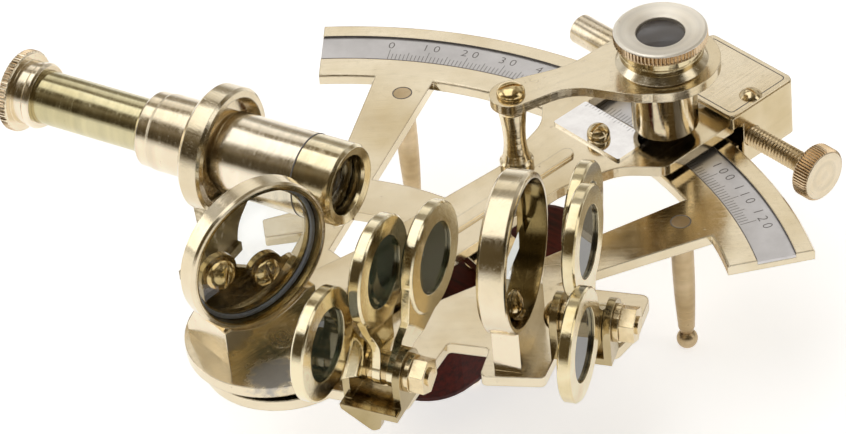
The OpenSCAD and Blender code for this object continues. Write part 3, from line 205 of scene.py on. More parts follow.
def brass(name, pale, deep, rough=0.17, brushing=(1, 0, 0), turning=None, blotch=40.0,
          worn=0.45, round_off=0.22, bore=None, patch=None):
    """Lacquered brass. brushing is a direction of fine straight lines, and turning is
    (centre, axis) of lathe lines in their place. blotch is how fine its clouds are, worn how
    bright its edges are rubbed, and round_off their roundness in mm. bore is (centre, axis,
    radius) of a hole whose wall is painted dark as painted shade, and patch is (centre, radius,
    colour) of a spot of painted light, used for painted shade and for a painted reflection."""
    made, add, here = material(name)
    cloud = add("TexNoise", {"Vector": here, "Scale": blotch, "Detail": 4.0, "Roughness": 0.55})
    tone = ramp(add, cloud.outputs["Fac"], 0.30, deep, 0.56, pale)
    speck = add("TexNoise", {"Vector": here, "Scale": 620.0, "Detail": 4.0,
                             "Roughness": 0.75}).outputs["Fac"]
    stain = add("MapRange", {"Value": speck, "From Min": 0.68, "From Max": 0.76}).outputs["Result"]
    spotted = blend(add, stain, tone, (deep[0] * 0.4, deep[1] * 0.36, deep[2] * 0.3))
    if turning:
        along, out_by = from_axis(add, here, *turning)
        lathe = add("CombineXYZ", {"X": along, "Y": out_by}).outputs[0]
        lines = add("TexNoise", {"Vector": lathe, "Scale": 3600.0, "Detail": 3.0}).outputs["Fac"]
        bands = add("TexNoise", {"Vector": lathe, "Scale": 620.0, "Detail": 2.0}).outputs["Fac"]
        dark_band, light_band = 0.90, 1.04
    else:
        yaw = math.atan2(brushing[1], brushing[0])
        laid = add("Mapping", {"Vector": here, "Rotation": (0, 0, -yaw)}, vector_type="POINT")
        drawn = add("Mapping", {"Vector": laid.outputs[0], "Scale": (45, 3600, 3600)}).outputs[0]
        lines = add("TexNoise", {"Vector": drawn, "Scale": 1.0, "Detail": 3.0}).outputs["Fac"]
        bands = add("TexNoise", {"Vector": drawn, "Scale": 0.28, "Detail": 2.0}).outputs["Fac"]
        dark_band, light_band = 0.985, 1.005
    streak = add("MapRange", {"Value": bands, "From Min": 0.3, "From Max": 0.7,
                              "To Min": dark_band, "To Max": light_band}).outputs[0]
    streaked = add("VectorMath", {0: spotted, "Scale": streak}, operation="SCALE").outputs[0]
    edge = add("Bevel", {"Radius": round_off * mm}, samples=4).outputs[0]
    true = add("NewGeometry").outputs["Normal"]
    bent = add("VectorMath", {0: edge, 1: true}, operation="DOT_PRODUCT").outputs["Value"]
    rubbed = add("MapRange", {"Value": bent, "From Min": 0.995, "From Max": 0.8,
                              "To Min": 0.0, "To Max": worn}).outputs["Result"]
    colour = blend(add, rubbed, streaked, tuple(min(1.0, c * 1.1 + 0.08) for c in pale))
    # Painted shade: the wall of the bore is painted a dark brass colour.
    if bore:
        hole_at, hole_axis, hole_r = bore
        out_by = from_axis(add, here, hole_at, hole_axis)[1]
        bore_shade = add("Math", {0: out_by, 1: hole_r}, operation="LESS_THAN").outputs[0]
        colour = blend(add, bore_shade, colour, (0.30, 0.215, 0.085))
    satin = add("MapRange", {"Value": lines, "From Min": 0.25, "From Max": 0.75,
                             "To Min": rough - 0.05, "To Max": rough + 0.09}).outputs["Result"]
    dull = add("MapRange", {"Value": speck, "From Min": 0.5, "From Max": 0.8,
                            "To Min": 0.0, "To Max": 0.16}).outputs["Result"]
    gloss = add("Math", {0: satin, 1: dull}, operation="ADD").outputs[0]
    # Painted light: a ragged spot in the colour given, used for painted shade and for a painted
    # reflection.
    if patch:
        spot, reach, spot_colour = patch
        away = add("VectorMath", {0: here, 1: spot}, operation="DISTANCE").outputs["Value"]
        ragged = add("TexNoise", {"Vector": here, "Scale": 700.0, "Detail": 4.0}).outputs["Fac"]
        limit = add("Math", {0: ragged, 1: reach * 1.3}, operation="MULTIPLY").outputs[0]
        past = add("Math", {0: away, 1: limit}, operation="SUBTRACT").outputs[0]
        painted_share = add("MapRange", {"Value": past, "From Min": reach * 0.5, "From Max": 0.0})
        colour = blend(add, painted_share.outputs[0], colour, spot_colour)
        rougher = add("Math", {0: painted_share.outputs[0], 1: 0.3}, operation="MULTIPLY").outputs[0]
        gloss = add("Math", {0: gloss, 1: rougher}, operation="ADD").outputs[0]
    bump = add("Bump", {"Height": lines, "Normal": edge, "Strength": 0.16, "Distance": 0.00003})
    wave = add("TexNoise", {"Vector": here, "Scale": 55.0, "Detail": 1.0}).outputs["Fac"]
    ripple = add("Bump", {"Height": wave, "Normal": bump.outputs[0],
                          "Strength": 0.5, "Distance": 0.0011})
    surface(add, {"Base Color": colour, "Metallic": 1.0, "Roughness": gloss,
                  "Normal": ripple.outputs[0]})
    return made


def dress(finish, *names):
    """Gives nodes of the construction model their finish."""
    for node in names:
        piece = nodes[node]
        piece.data.materials.clear()
        piece.data.materials.append(finish)


pale_tone, deep_tone = (0.77, 0.68, 0.51), (0.62, 0.51, 0.32)
plate_grain = (0.74, 0.66, 0)
dress(brass("frame_brass", pale_tone, deep_tone, 0.13, plate_grain, round_off=0.4), "frame")

# The scale: a strip of silvered brass let into a groove in the limb. Its lines and figures are
# engraved by a dividing engine and filled with black wax: a line for each half degree of arc,
# longer ones at each fifth and tenth, and a figure at each tenth.
silvered, add, here = material("silvered_strip")
cloud = add("TexNoise", {"Vector": here, "Scale": 130.0, "Detail": 5.0, "Roughness": 0.65})
tone = ramp(add, cloud.outputs["Fac"], 0.3, (0.58, 0.565, 0.565), 0.66, (0.71, 0.695, 0.70))
grain = add("TexNoise", {"Vector": here, "Scale": 3800.0, "Detail": 2.0}).outputs["Fac"]
gloss = add("MapRange", {"Value": grain, "To Min": 0.26, "To Max": 0.46})
bump = add("Bump", {"Height": grain, "Strength": 0.12, "Distance": 0.00002})
surface(add, {"Base Color": tone, "Metallic": 0.9, "Roughness": gloss.outputs[0],
              "Normal": bump.outputs[0]})
dress(silvered, "scale_strip")

wax, add, here = material("engraving_wax")
crumbs = add("TexNoise", {"Vector": here, "Scale": 2200.0, "Detail": 3.0}).outputs["Fac"]
tone = blend(add, crumbs, (0.07, 0.062, 0.058), (0.24, 0.22, 0.21))
matt = add("MapRange", {"Value": crumbs, "To Min": 0.45, "To Max": 0.7})
surface(add, {"Base Color": tone, "Roughness": matt.outputs[0]})


def middle(node):
    """The middle of a node's box."""
    low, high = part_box(node)
    return (low + high) / 2


def directions(degrees):
    """Outwards from the centre at an angle of the scale, and to the right there."""
    angle = math.radians(degrees)
    out = Vector((math.sin(angle), math.cos(angle), 0))
    return out, Vector((math.cos(angle), -math.sin(angle), 0))


def settle(made, finish, body):
    """Turns the faces outwards, smooths the soft edges and puts the piece on its body."""
    sharp_angle = 32
    shell = bmesh.new()
    shell.from_mesh(made.data)
    bmesh.ops.recalc_face_normals(shell, faces=shell.faces)
    shell.to_mesh(made.data)
    shell.free()
    made.data.shade_smooth()
    made.data.set_sharp_from_angle(angle=math.radians(sharp_angle))
    made.data.materials.append(finish)
    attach(made, body)
    return made


def skin(name, loops, finish, body, closed=True, ends=True):
    """A piece whose surface runs through rows of points in metres. closed joins the last point
    of each row to its first, and ends fills the first row and the last."""
    wide = len(loops[0])
    points = [tuple(p) for loop in loops for p in loop]
    faces = []
    for row in range(len(loops) - 1):
        for k in range(wide if closed else wide - 1):
            a, b = row * wide + k, row * wide + (k + 1) % wide
            faces.append((a, b, b + wide, a + wide))
    if ends:
        faces += [tuple(reversed(range(wide))), tuple(range(len(points) - wide, len(points)))]
    return settle(flat_mesh(name, points, faces), finish, body)


def block(points, faces, corners, low, high):
    """Adds a flat block over four corners, from one height to the other, to a mesh's lists."""
    first = len(points)
    points += [(c.x, c.y, low) for c in corners] + [(c.x, c.y, high) for c in corners]
    faces += [tuple(first + k for k in (3, 2, 1, 0)), tuple(first + k for k in (4, 5, 6, 7))]
    for k in range(4):
        after = (k + 1) % 4
        faces.append((first + k, first + after, first + 4 + after, first + 4 + k))


up_axis = Vector((0, 0, 1))
pivot = Vector((middle("index_pivot").x, middle("index_pivot").y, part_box("frame")[1].z))
strip_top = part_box("scale_strip")[1].z - pivot.z
units, unit_turn, zero_at = 120, 0.5, -30
line_from, line_half, line_length, line_lengths = 80.45, 0.055, 1.7, {0: 2.9, 5: 2.3}
proud, sunk, level = 0.006, 0.05, pivot.z + strip_top
points, faces = [], []
for unit in range(units + 1):
    out, side = directions(zero_at + unit * unit_turn)
    line_to = line_from + line_lengths.get(unit % 10, line_length)
    corners = [pivot + (out * r + side * w) * mm
               for r, w in ((line_from, -line_half), (line_from, line_half),
                            (line_to, line_half), (line_to, -line_half))]
    block(points, faces, corners, level - sunk * mm, level + proud * mm)
settle(flat_mesh("scale_lines", points, faces), wax, "instrument")

strip_in, strip_out, strip_start, strip_end, strip_steps = 80.1, 86.7, -38.5, 37.3, 96
seam_low, seam_top, seam_over, seam_in, seam_out = -0.4, 0.012, 0.03, 0.1, 0.07
for name, low_r, high_r in (("strip_line_in", strip_in - seam_in, strip_in + seam_over),
                            ("strip_line_out", strip_out - seam_over, strip_out + seam_out)):
    loops = []
    for step in range(strip_steps + 1):
        out = directions(strip_start + (strip_end - strip_start) * step / strip_steps)[0]
        loops.append([pivot + (out * r + up_axis * z) * mm
                      for r, z in ((low_r, seam_low), (low_r, seam_top),
                                   (high_r, seam_top), (high_r, seam_low))])
    skin(name, loops, wax, "instrument")

figure_at, figure_size, figure_spread, figure_thinned, figure_steps = 84.5, 2.6, 1.6, -0.03, 4
points, faces = [], []
for unit in range(0, units + 1, 10):
    text = bpy.data.curves.new("figure", "FONT")
    text.body, text.size = str(unit), figure_size
    text.align_x, text.align_y = "CENTER", "CENTER"
    text.space_character, text.offset = figure_spread, figure_thinned
    text.extrude, text.resolution_u = proud, figure_steps
    holder = bpy.data.objects.new("figure", text)
    bpy.context.scene.collection.objects.link(holder)
    bpy.context.view_layer.update()
    evaluated = holder.evaluated_get(bpy.context.evaluated_depsgraph_get())
    shape = bpy.data.meshes.new_from_object(evaluated)
    out, side = directions(zero_at + unit * unit_turn)
    first = len(points)
    for vertex in shape.vertices:
        x, y, z = vertex.co
        offset = out * (figure_at + y) + side * x + up_axis * (strip_top / mm + z)
        points.append(tuple(pivot + offset * mm))
    faces += [tuple(first + k for k in face.vertices) for face in shape.polygons]
    bpy.data.objects.remove(holder)
    bpy.data.curves.remove(text)
    bpy.data.meshes.remove(shape)
settle(flat_mesh("scale_figures", points, faces), wax, "instrument")


# The feet: turned from brass rod with a swelling shank and a ball at the end. Two have a tenon
# that is riveted through the frame, filed flush and seen as a thin dark circle, and the third is
# screwed into the handle.
def turned(name, base, axis, profile, finish, body, around=96, teeth=0, ends=True):
    """A lathe piece. profile lists (distance along the axis, radius) in mm, and the depth of the
    knurl as a third number where there is one."""
    axis = Vector(axis).normalized()
    side = axis.orthogonal().normalized()
    other = axis.cross(side)
    points_a_tooth = 6
    around = teeth * points_a_tooth if teeth else around
    loops = []
    for distance, radius, *knurl in profile:
        cut = knurl[0] if knurl else 0
        loop = []
        for k in range(around):
            angle = 2 * math.pi * k / around
            reach = radius - cut * (0.5 - 0.5 * math.cos(teeth * angle))
            spoke = side * math.cos(angle) + other * math.sin(angle)
            loop.append(Vector(base) + (axis * distance + spoke * reach) * mm)
        loops.append(loop)
    return skin(name, loops, finish, body, ends=ends)


for foot in ("left_foot", "right_foot", "handle_foot"):
    dress(brass(foot + "_brass", (0.66, 0.52, 0.33), (0.42, 0.30, 0.15), 0.3,
                turning=(middle(foot), up_axis), blotch=75), foot)
rivet_out, rivet_in, rivet_low, rivet_top = 1.78, 1.6, -0.1, 0.012
for foot in ("left_foot", "right_foot"):
    base = Vector((middle(foot).x, middle(foot).y, pivot.z))
    turned(foot + "_rivet_line", base, up_axis, [
        (rivet_low, rivet_out), (rivet_top, rivet_out), (rivet_top, rivet_in),
        (rivet_low, rivet_in)], wax, "instrument", 48, ends=False)

# The handle: a block of dark red wood with round ends, sawn to shape, oiled and polished. Two
# turned brass pillars hold it off the frame, and a screw runs up through it and each of them.
grain_turn = -85.5
wood, add, here = material("dark_red_wood")
laid = add("Mapping", {"Vector": here, "Rotation": (0, 0, math.radians(grain_turn)),
                       "Scale": (90, 900, 900)}).outputs[0]
grain = add("TexNoise", {"Vector": laid, "Scale": 1.0, "Detail": 6.0, "Roughness": 0.7})
tone = ramp(add, grain.outputs["Fac"], 0.3, (0.022, 0.005, 0.004), 0.72, (0.135, 0.016, 0.009))
pores = add("TexNoise", {"Vector": laid, "Scale": 5.0, "Detail": 2.0}).outputs["Fac"]
gloss = add("MapRange", {"Value": pores, "To Min": 0.34, "To Max": 0.55})
bump = add("Bump", {"Height": pores, "Strength": 0.3, "Distance": 0.00005})
surface(add, {"Base Color": tone, "Roughness": gloss.outputs[0], "Normal": bump.outputs[0],
              "Specular IOR Level": 0.12})
dress(wood, "handle")
small_brass = brass("small_turned_brass", (0.78, 0.65, 0.42), (0.52, 0.38, 0.18), 0.14, blotch=130)
dress(small_brass, "handle_pillars", "handle_screws")

# The centre: a brass bush pressed into the frame, the turned pin of the arm that runs in it, and
# a washer and a screw below that keep the pin in place.
hub_brass = brass("hub_brass", pale_tone, deep_tone, 0.2,
                  turning=(middle("index_pivot"), up_axis), blotch=80)
dress(hub_brass, "centre_bush", "index_pivot", "pivot_washer", "pivot_screw")

# The index arm: a flat bar cut from brass plate and brushed along its length. A grey spot
# beside the index mirror is a painted reflection of the hub's polished facets. A block at its
# end reaches over the limb's edge, and a spring plate screwed below it keeps the arm down.
# Painted reflection: a grey spot painted on the hub beside the index mirror.
arm_turn, grey_at, grey_r = math.radians(6), (4.7, -7.8, 3.4), 4.2
along_arm = Vector((math.sin(arm_turn), math.cos(arm_turn), 0))
across_arm = Vector((math.cos(arm_turn), -math.sin(arm_turn), 0))
arm_brass = brass("arm_brass", (0.77, 0.675, 0.50), (0.56, 0.45, 0.26), 0.13, along_arm,
                  round_off=0.35,
                  patch=(pivot + Vector(grey_at) * mm, grey_r * mm, (0.42, 0.40, 0.37)))
dress(arm_brass, "index_arm", "vernier_block", "limb_keeper")
dress(small_brass, "keeper_screws")


# The cover plate: a blank plate of brushed brass that two slotted screws hold on the arm's block.
# An engraved line, filled black, follows its edge.
def on_arm(x, y, z):
    """A point given in mm from the centre, across the arm, along it and above the frame."""
    return pivot + (across_arm * x + along_arm * y + up_axis * z) * mm


def round_corners(grow, height):
    """The line's path, moved outwards by grow, as points at one height."""
    low_x, low_y = (c + edge_gap + corner_r for c in plate_low)
    high_x, high_y = (c - edge_gap - corner_r for c in plate_high)
    reach = corner_r + grow
    path = []
    for corner, (x, y) in enumerate(((high_x, high_y), (low_x, high_y), (low_x, low_y),
                                     (high_x, low_y))):
        for step in range(corner_steps + 1):
            angle = math.radians(90 * corner + 90 * step / corner_steps)
            path.append(on_arm(x + reach * math.cos(angle), y + reach * math.sin(angle), height))
    return path


edge_gap, line_wide, corner_r, corner_steps = 0.75, 0.2, 0.9, 6
plate_low, plate_high, plate_top = (-3.0, 88.5), (16.4, 103.6), 5.5
dress(brass("cover_brass", (0.84, 0.75, 0.58), (0.70, 0.58, 0.38), 0.24, along_arm), "cover_plate")
dress(small_brass, "cover_screws")
skin("cover_line", [
    round_corners(0, plate_top - sunk), round_corners(0, plate_top + proud),
    round_corners(-line_wide, plate_top + proud), round_corners(-line_wide, plate_top - sunk)],
    wax, "arm", ends=False)


# The vernier: a small plate of polished silvered brass with fine engraved lines along its outer
# edge. One screw with a high round head holds it on the arm.
def slotted_head(name, base, radius, lip, high, slot_along, finish, node, facing=up_axis,
                 cross=False):
    """The domed head of a screw with a sawn slot, or two that cross, and its plain edge below,
    in mm. It takes the place of the node, where one is given."""
    slot_half, slot_deep, half_rows, columns, least_square = 0.28, 0.75, 9, 24, 0.0004
    rim_low, rim_in, rim_round = -1.5, 1, (0.05, 0.08)
    slot_along = Vector(slot_along).normalized()
    slot_side = slot_along.cross(facing)
    offsets = [radius * math.sin(math.pi / 2 * k / half_rows) for k in range(1, half_rows + 1)]
    offsets = [o for o in offsets if o > slot_half * 1.4]
    rows = [(-o, False) for o in reversed(offsets)]
    rows += [(-slot_half, False), (-slot_half, True), (slot_half, True), (slot_half, False)]
    rows += [(o, False) for o in offsets]
    loops = []
    for offset, in_slot in rows:
        half = math.sqrt(max(radius ** 2 - offset ** 2, least_square))
        loop = []
        for k in range(columns + 1):
            place = -half * math.cos(math.pi * k / columns)
            off = min((offset ** 2 + place ** 2) / radius ** 2, 1)
            height = lip + (high - lip) * math.sqrt(1 - off)
            if in_slot or (cross and abs(place) < slot_half):
                height = min(height, high - slot_deep)
            offset_by = slot_side * offset + slot_along * place + facing * height
            loop.append(base + offset_by * mm)
        loops.append(loop)
    head = skin(name, loops, finish, "arm", closed=False, ends=False)
    turned(name + "_rim", base, facing, [
        (rim_low, rim_in), (0, rim_in), (0, radius - rim_round[0]), (rim_round[1], radius),
        (lip, radius)],
        finish, "arm", 72, ends=False)
    if node:
        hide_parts(node)


vernier_edge, vernier_top, vernier_step, vernier_steps = 77.0, 3.3, 0.7, 10
tick_half, tick_length, fifth_length, tick_gap, tick_sunk = 0.04, 0.7, 1.1, 0.05, 0.03
polished, add, here = material("polished_silvering")
cloud = add("TexNoise", {"Vector": here, "Scale": 260.0, "Detail": 4.0,
                         "Roughness": 0.6}).outputs["Fac"]
tone = ramp(add, cloud, 0.3, (0.80, 0.79, 0.80), 0.6, (0.91, 0.91, 0.92))
gloss = add("MapRange", {"Value": cloud, "To Min": 0.05, "To Max": 0.14})
surface(add, {"Base Color": tone, "Metallic": 1.0, "Roughness": gloss.outputs[0]})
dress(polished, "vernier_plate")
screw_at, screw_r, screw_lip, screw_high = middle("vernier_screw"), 2.05, 0.7, 2.6
screw_at.z = pivot.z + vernier_top * mm
slotted_head("vernier_head", screw_at, screw_r, screw_lip, screw_high, along_arm, small_brass,
             "vernier_screw")
points, faces = [], []
for k in range(-vernier_steps, vernier_steps + 1):
    x = k * vernier_step
    y = vernier_edge - (fifth_length if k % 5 == 0 else tick_length)
    corners = [on_arm(*c, 0) for c in ((x - tick_half, y), (x + tick_half, y),
                                       (x + tick_half, vernier_edge - tick_gap),
                                       (x - tick_half, vernier_edge - tick_gap))]
    block(points, faces, corners, pivot.z + (vernier_top - tick_sunk) * mm,
          pivot.z + (vernier_top + proud) * mm)
settle(flat_mesh("vernier_lines", points, faces), wax, "arm")

# The tangent screw: turned from one brass bar, with a fine thread and a knob that has a knurled
# rim and a flat face. It runs in the arm's block, and a plain sleeve is let in at the other end.
screw_y, screw_z, core_from, core_r = 93.2, -1.1, 3.5, 1.6
knob_at, knob_r, knob_long, knob_step, face_ring = 30.3, 4.85, 3.3, 0.55, 0.42
knob_end = knob_at + knob_long
knob_face, rim_teeth, rim_deep = knob_end - 0.12, 54, 0.45
screw_base = on_arm(0, screw_y, screw_z)
knob_brass = brass("knob_brass", (0.74, 0.645, 0.49), deep_tone, 0.18,
                   turning=(screw_base, across_arm), blotch=100)
thread_brass = brass("thread_brass", (0.72, 0.57, 0.35), (0.45, 0.31, 0.14), 0.24,
                     turning=(screw_base, across_arm), blotch=100)
knurl_brass = brass("knurl_brass", (0.70, 0.55, 0.37), (0.46, 0.33, 0.19), 0.2, blotch=160,
                    worn=0.8, round_off=0.08)
knob = turned("knurled_knob", screw_base, across_arm, [
    (core_from, core_r), (knob_at, core_r), (knob_at, knob_r - knob_step),
    (knob_face, knob_r - knob_step), (knob_face, knob_r - face_ring),
    (knob_end, knob_r - knob_step)], knob_brass, "tangent", 120)
turned("knob_knurl", screw_base, across_arm, [
    (knob_at, knob_r - 0.6), (knob_at, knob_r - 0.4), (knob_at + 0.25, knob_r - 0.02, 0.25),
    (knob_at + 0.4, knob_r, rim_deep), (knob_end - 0.5, knob_r, rim_deep),
    (knob_face, knob_r - 0.3, 0.2), (knob_face, knob_r - 0.6)],
    knurl_brass, "tangent", teeth=rim_teeth, ends=False)
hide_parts("tangent_screw")
thread_from, thread_last, thread_r, pitch, steps_round = 4.0, 4.4, 1.87, 0.7, 32
thread_form = ((-0.5, core_r - 0.02), (-0.1, thread_r), (0.1, thread_r), (0.5, core_r - 0.02))
ridges = []
for step in range(int((knob_at - thread_last) / pitch * steps_round)):
    angle = 2 * math.pi * step / steps_round
    spoke = up_axis * math.cos(angle) + along_arm * math.sin(angle)
    start = thread_from + step / steps_round * pitch
    ridges.append([screw_base + (across_arm * (start + pitch * part) + spoke * reach) * mm
                   for part, reach in thread_form])
skin("tangent_thread", ridges, thread_brass, "tangent", closed=False, ends=False)
dress(knob_brass, "tangent_sleeve")

# The magnifier's mount: a turned post with a tenon in the arm, and an S-shaped swing arm, sawn
# from brass plate, that turns on the post under a low slotted head and holds the turned barrel
# in its ring.
for piece in ("magnifier_post", "magnifier_barrel"):
    dress(brass(piece + "_brass", (0.82, 0.71, 0.50), deep_tone, 0.1,
                turning=(middle(piece), up_axis), blotch=80), piece)
dress(brass("magnifier_arm_brass", pale_tone, deep_tone, 0.16, (0.4, 0.9, 0)), "magnifier_arm")
head_rise, head_r, head_lip, head_high, head_slot = 6.7, 2.45, 0.35, 1.75, (0.62, 0.78, 0)
post_at = middle("magnifier_post")
head_base = Vector((post_at.x, post_at.y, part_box("post_finial")[0].z + head_rise * mm))
yellow = brass("finial_brass", (0.80, 0.62, 0.32), (0.60, 0.42, 0.16), 0.13,
               turning=(head_base, up_axis), blotch=90)
slotted_head("swing_head", head_base, head_r, head_lip, head_high, head_slot, yellow,
             "post_finial")


# The magnifier's cap: a shallow dish of brass with a knurled rim over a plain neck, turned in
# one and screwed on to the barrel. Its dish and plain rim are painted very pale, a painted
# highlight over the brass colour. A polished lens lies close under the dish's opening.
def glass(name, tint, rough=0.02, through=1.0, cloudy=0.0):
    """Polished glass with a little dust. through is the share of light that it lets pass."""
    made, add, here = material(name)
    dust = add("TexNoise", {"Vector": here, "Scale": 420.0, "Detail": 4.0,
                            "Roughness": 0.7}).outputs["Fac"]
    haze = add("MapRange", {"Value": dust, "From Min": 0.45, "From Max": 0.8,
                            "To Min": rough, "To Max": rough + 0.12 + cloudy})
    tone = blend(add, dust, tint, tuple(c * 0.8 for c in tint))
    surface(add, {"Base Color": tone, "Roughness": haze.outputs[0],
                  "Transmission Weight": through, "IOR": 1.52})
    return made


cap_low, cap_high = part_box("magnifier_cap")[0].z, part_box("magnifier_cap")[1].z
cap_base = Vector((middle("magnifier_cap").x, middle("magnifier_cap").y, cap_high))
cap_r, cap_in, barrel_in, neck_r, opening_r, dish = 8.1, 5.9, 5.4, 7.2, 4.25, 0.7
rim_low, rim_top, groove_at, groove_deep, cap_teeth, cap_deep = -2.2, -0.3, 1.15, 0.15, 72, 0.5
neck_low = -(cap_high - cap_low) / mm
# Painted highlight: the cap's brass is painted very pale all over, standing for the light the dish
# catches.
cap_painted_highlight = brass("cap_painted_highlight", (0.96, 0.91, 0.81), (0.87, 0.79, 0.65), 0.42,
                  turning=(cap_base, up_axis), blotch=80)
neck_brass = brass("neck_brass", (0.74, 0.63, 0.40), deep_tone, 0.1,
                   turning=(cap_base, up_axis), blotch=80)
turned("cap_neck", cap_base, up_axis, [
    (neck_low, cap_in), (neck_low, neck_r - 0.1), (neck_low + 0.1, neck_r),
    (neck_low + groove_at, neck_r), (neck_low + groove_at + 0.05, neck_r - groove_deep),
    (neck_low + groove_at + 0.17, neck_r - groove_deep), (neck_low + groove_at + 0.22, neck_r),
    (rim_low, neck_r), (rim_low, cap_in)],
    neck_brass, "magnifier", 120, ends=False)
cap = turned("knurled_cap", cap_base, up_axis, [
    (rim_low, cap_in), (rim_low, cap_r - 0.6), (rim_top, cap_r - 0.6), (rim_top, cap_r - 0.05),
    (-0.1, cap_r - 0.28), (0, cap_r - 0.5), (-0.06, cap_r - 0.75), (-dish, opening_r + 0.15),
    (-dish - 0.06, opening_r), (-dish - 0.9, opening_r), (-dish - 0.9, barrel_in),
    (neck_low + 1, barrel_in)], cap_painted_highlight, "magnifier", 120, ends=False)
turned("cap_knurl", cap_base, up_axis, [
    (rim_low, cap_r - 0.5), (rim_low, cap_r - 0.35), (rim_low + 0.25, cap_r - 0.02, 0.3),
    (rim_low + 0.35, cap_r + 0.02, cap_deep), (rim_top - 0.1, cap_r + 0.02, cap_deep),
    (rim_top, cap_r - 0.05, 0.4), (rim_top, cap_r - 0.55)],
    knurl_brass, "magnifier", teeth=cap_teeth, ends=False)
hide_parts("magnifier_cap")
dark_lens = glass("magnifier_glass", (0.16, 0.145, 0.14), 0.05, through=0.35, cloudy=0.1)
lens_r, lens_sag, lens_top, lens_deep, lens_rings = opening_r + 0.6, 0.45, -dish - 0.3, 2.0, 8
profile = [(lens_top - lens_deep, lens_r), (lens_top - lens_sag, lens_r)]
profile += [(lens_top - lens_sag * (k / lens_rings) ** 2, lens_r * k / lens_rings)
            for k in range(lens_rings - 1, 0, -1)]
disc = turned("magnifier_lens_disc", cap_base, up_axis, profile, dark_lens,
              "magnifier", 64)
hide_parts("magnifier_lens")

# The telescope: a turned tube with a front cell screwed in, seen as a dark seam, and a yellower
# drawn tube with a knurled eyepiece. An upright plate with a bent foot carries its collar, and
# the plate is painted dark round its foot as painted shade.
scope_turn, scope_front = math.radians(11.9), (-1.9, 20.9, 20.2)
along_scope = (math.cos(scope_turn), math.sin(scope_turn), 0)
scope_line = middle("telescope_tube")
scope_base = pivot + Vector(scope_front) * mm
dress(glass("lens_glass", (0.72, 0.70, 0.68)), "objective_lens", "eye_lens")
dress(brass("tube_brass", (0.86, 0.77, 0.61), (0.72, 0.61, 0.42), 0.15,
            turning=(scope_line, along_scope)), "telescope_tube", "eyepiece")
dress(brass("cell_brass", (0.82, 0.72, 0.50), (0.66, 0.54, 0.30), 0.12,
            turning=(scope_line, along_scope), blotch=60), "objective_cell")
dress(brass("draw_brass", (0.61, 0.55, 0.34), (0.46, 0.40, 0.21), 0.15,
            turning=(scope_line, along_scope), blotch=45), "draw_tube")
seam_at, seam_wide, seam_r, seam_deep = -7.65, 0.24, 7.07, 0.2
turned("cell_seam", scope_base, along_scope, [
    (seam_at, seam_r - seam_deep), (seam_at, seam_r), (seam_at + seam_wide, seam_r),
    (seam_at + seam_wide, seam_r - seam_deep)], wax, "instrument", ends=False)
eye_low, eye_high, eye_r, eye_deep, eye_teeth = -66.1, -64.5, 7.12, 0.3, 78
turned("eyepiece_knurl", scope_base, along_scope, [
    (eye_low + 0.1, eye_r - 0.5), (eye_low + 0.15, eye_r - 0.2),
    (eye_low + 0.3, eye_r + 0.06, eye_deep), (eye_high - 0.2, eye_r + 0.06, eye_deep),
    (eye_high - 0.02, eye_r - 0.2), (eye_high, eye_r - 0.5)],
    knurl_brass, "draw", teeth=eye_teeth, ends=False)
# Painted shade: a dark spot painted on the bracket round its foot.
painted_shade_at, painted_shade_rise, painted_shade_r = middle("telescope_bracket"), 1.5, 13
painted_shade_at.z = pivot.z + painted_shade_rise * mm
dress(brass("bracket_brass", pale_tone, deep_tone, 0.16, up_axis,
            patch=(painted_shade_at, painted_shade_r * mm, (0.17, 0.125, 0.05))), "telescope_bracket")

# The mirrors: a clear glass with a ground edge in a ring on the arm, and a silvered glass of half
# height, held by a clip, in a ring on the frame. Each ring is cast in brass with its foot, and its
# bore is painted dark as painted shade. Two screws sit in the lobed upright behind the clear
# glass.
index_axis, horizon_axis = (0.9833, -0.1822, 0), (0.9026, 0.4305, 0)
# Painted shade: each ring's bore is painted dark inside.
for piece, axis, bore_r in (("index_mirror_frame", index_axis, 12.4),
                            ("horizon_mirror_frame", horizon_axis, 12.3)):
    glass_at = middle(piece.replace("frame", "glass"))
    glass_at.z = middle("index_mirror_glass").z
    dress(brass(piece + "_brass", (0.82, 0.725, 0.55), (0.66, 0.55, 0.35), 0.13, (0.1, 1, 0),
                blotch=45, bore=(glass_at, axis, bore_r * mm)), piece)
dress(small_brass, "index_mirror_screws", "index_back_screws", "horizon_glass_clip",
      "frame_screws")
mirror_normal = Vector(index_axis).normalized()
mirror_level = Vector((-mirror_normal.y, mirror_normal.x, 0))
mirror_back, mirror_left, lobe_back, lobe_lip = -1, -1.6, -6.38, 0.25
mirror_at = pivot + (mirror_normal * mirror_back + mirror_level * mirror_left) * mm
for name, level_by, up_by, radius, high, slot_turn, cross, node in (
        ("lobe_head_left", -4.7, 16, 2.75, 2.3, 75, False, "index_back_screws"),
        ("lobe_head_right", 4.1, 11.4, 2.5, 1.5, 100, True, None)):
    offset = mirror_normal * lobe_back + mirror_level * level_by + up_axis * up_by
    angle = math.radians(slot_turn)
    slot_along = mirror_level * math.cos(angle) + up_axis * math.sin(angle)
    slotted_head(name, mirror_at + offset * mm, radius, lobe_lip, high, slot_along, yellow, node,
                 mirror_normal, cross)
ground, add, here = material("ground_glass_edge")
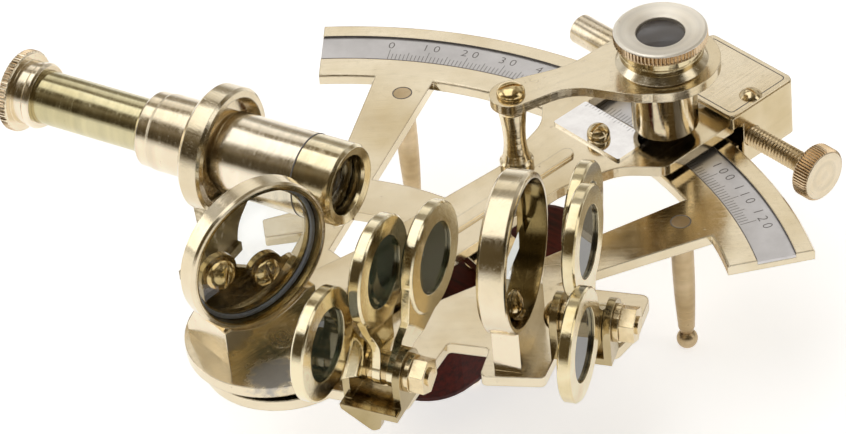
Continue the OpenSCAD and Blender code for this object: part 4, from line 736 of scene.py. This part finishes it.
grit = add("TexNoise", {"Vector": here, "Scale": 1500.0, "Detail": 4.0}).outputs["Fac"]
tone = blend(add, grit, (0.34, 0.37, 0.42), (0.72, 0.76, 0.82))
matt = add("MapRange", {"Value": grit, "To Min": 0.35, "To Max": 0.6})
surface(add, {"Base Color": tone, "Roughness": matt.outputs[0]})
edge_out, edge_in, edge_half = 12.1, 11.5, 0.5
turned("mirror_ground_edge", middle("index_mirror_glass"), mirror_normal, [
    (-edge_half, edge_in), (-edge_half, edge_out), (edge_half, edge_out), (edge_half, edge_in),
    (-edge_half, edge_in)], ground, "arm", ends=False)
dress(glass("clear_glass", (0.96, 0.98, 0.975), rough=0.0, cloudy=-0.1), "index_mirror_glass")
silver_back, add, here = material("silvered_glass")
spots = add("TexNoise", {"Vector": here, "Scale": 260.0, "Detail": 5.0,
                         "Roughness": 0.7}).outputs["Fac"]
haze = add("MapRange", {"Value": spots, "From Min": 0.5, "From Max": 0.8,
                        "To Min": 0.03, "To Max": 0.22})
tone = blend(add, spots, (0.80, 0.83, 0.83), (0.62, 0.66, 0.67))
surface(add, {"Base Color": tone, "Metallic": 1.0, "Roughness": haze.outputs[0]})
dress(silver_back, "horizon_mirror_glass")

# The shades: two sets of three brass rings on stems, with dark glass let in. Each set turns on a
# bolt through a channel bent from brass sheet, with washers between the stems and a nut.
shade_brass = brass("shade_brass", (0.82, 0.725, 0.50), (0.60, 0.48, 0.24), 0.11, up_axis,
                    blotch=75)
# Painted shade: the brackets are painted a deeper brass, as their bent tongues face down, away
# from the lamps.
bracket_brass = brass("shade_bracket_painted_shade", (0.52, 0.425, 0.26), (0.36, 0.28, 0.13), 0.14,
                      up_axis, blotch=60)
dress(small_brass, "shade_bolts", "shade_nuts", "shade_spacers")
for row, tint in (("index", (0.06, 0.085, 0.065)), ("horizon", (0.035, 0.045, 0.055))):
    dress(bracket_brass, row + "_shade_bracket")
    for k in (1, 2, 3):
        dress(shade_brass, f"{row}_shade_{k}")
        dress(glass(f"{row}_tint_{k}", tint, rough=0.01, through=0.6, cloudy=-0.09),
              f"{row}_shade_glass_{k}")
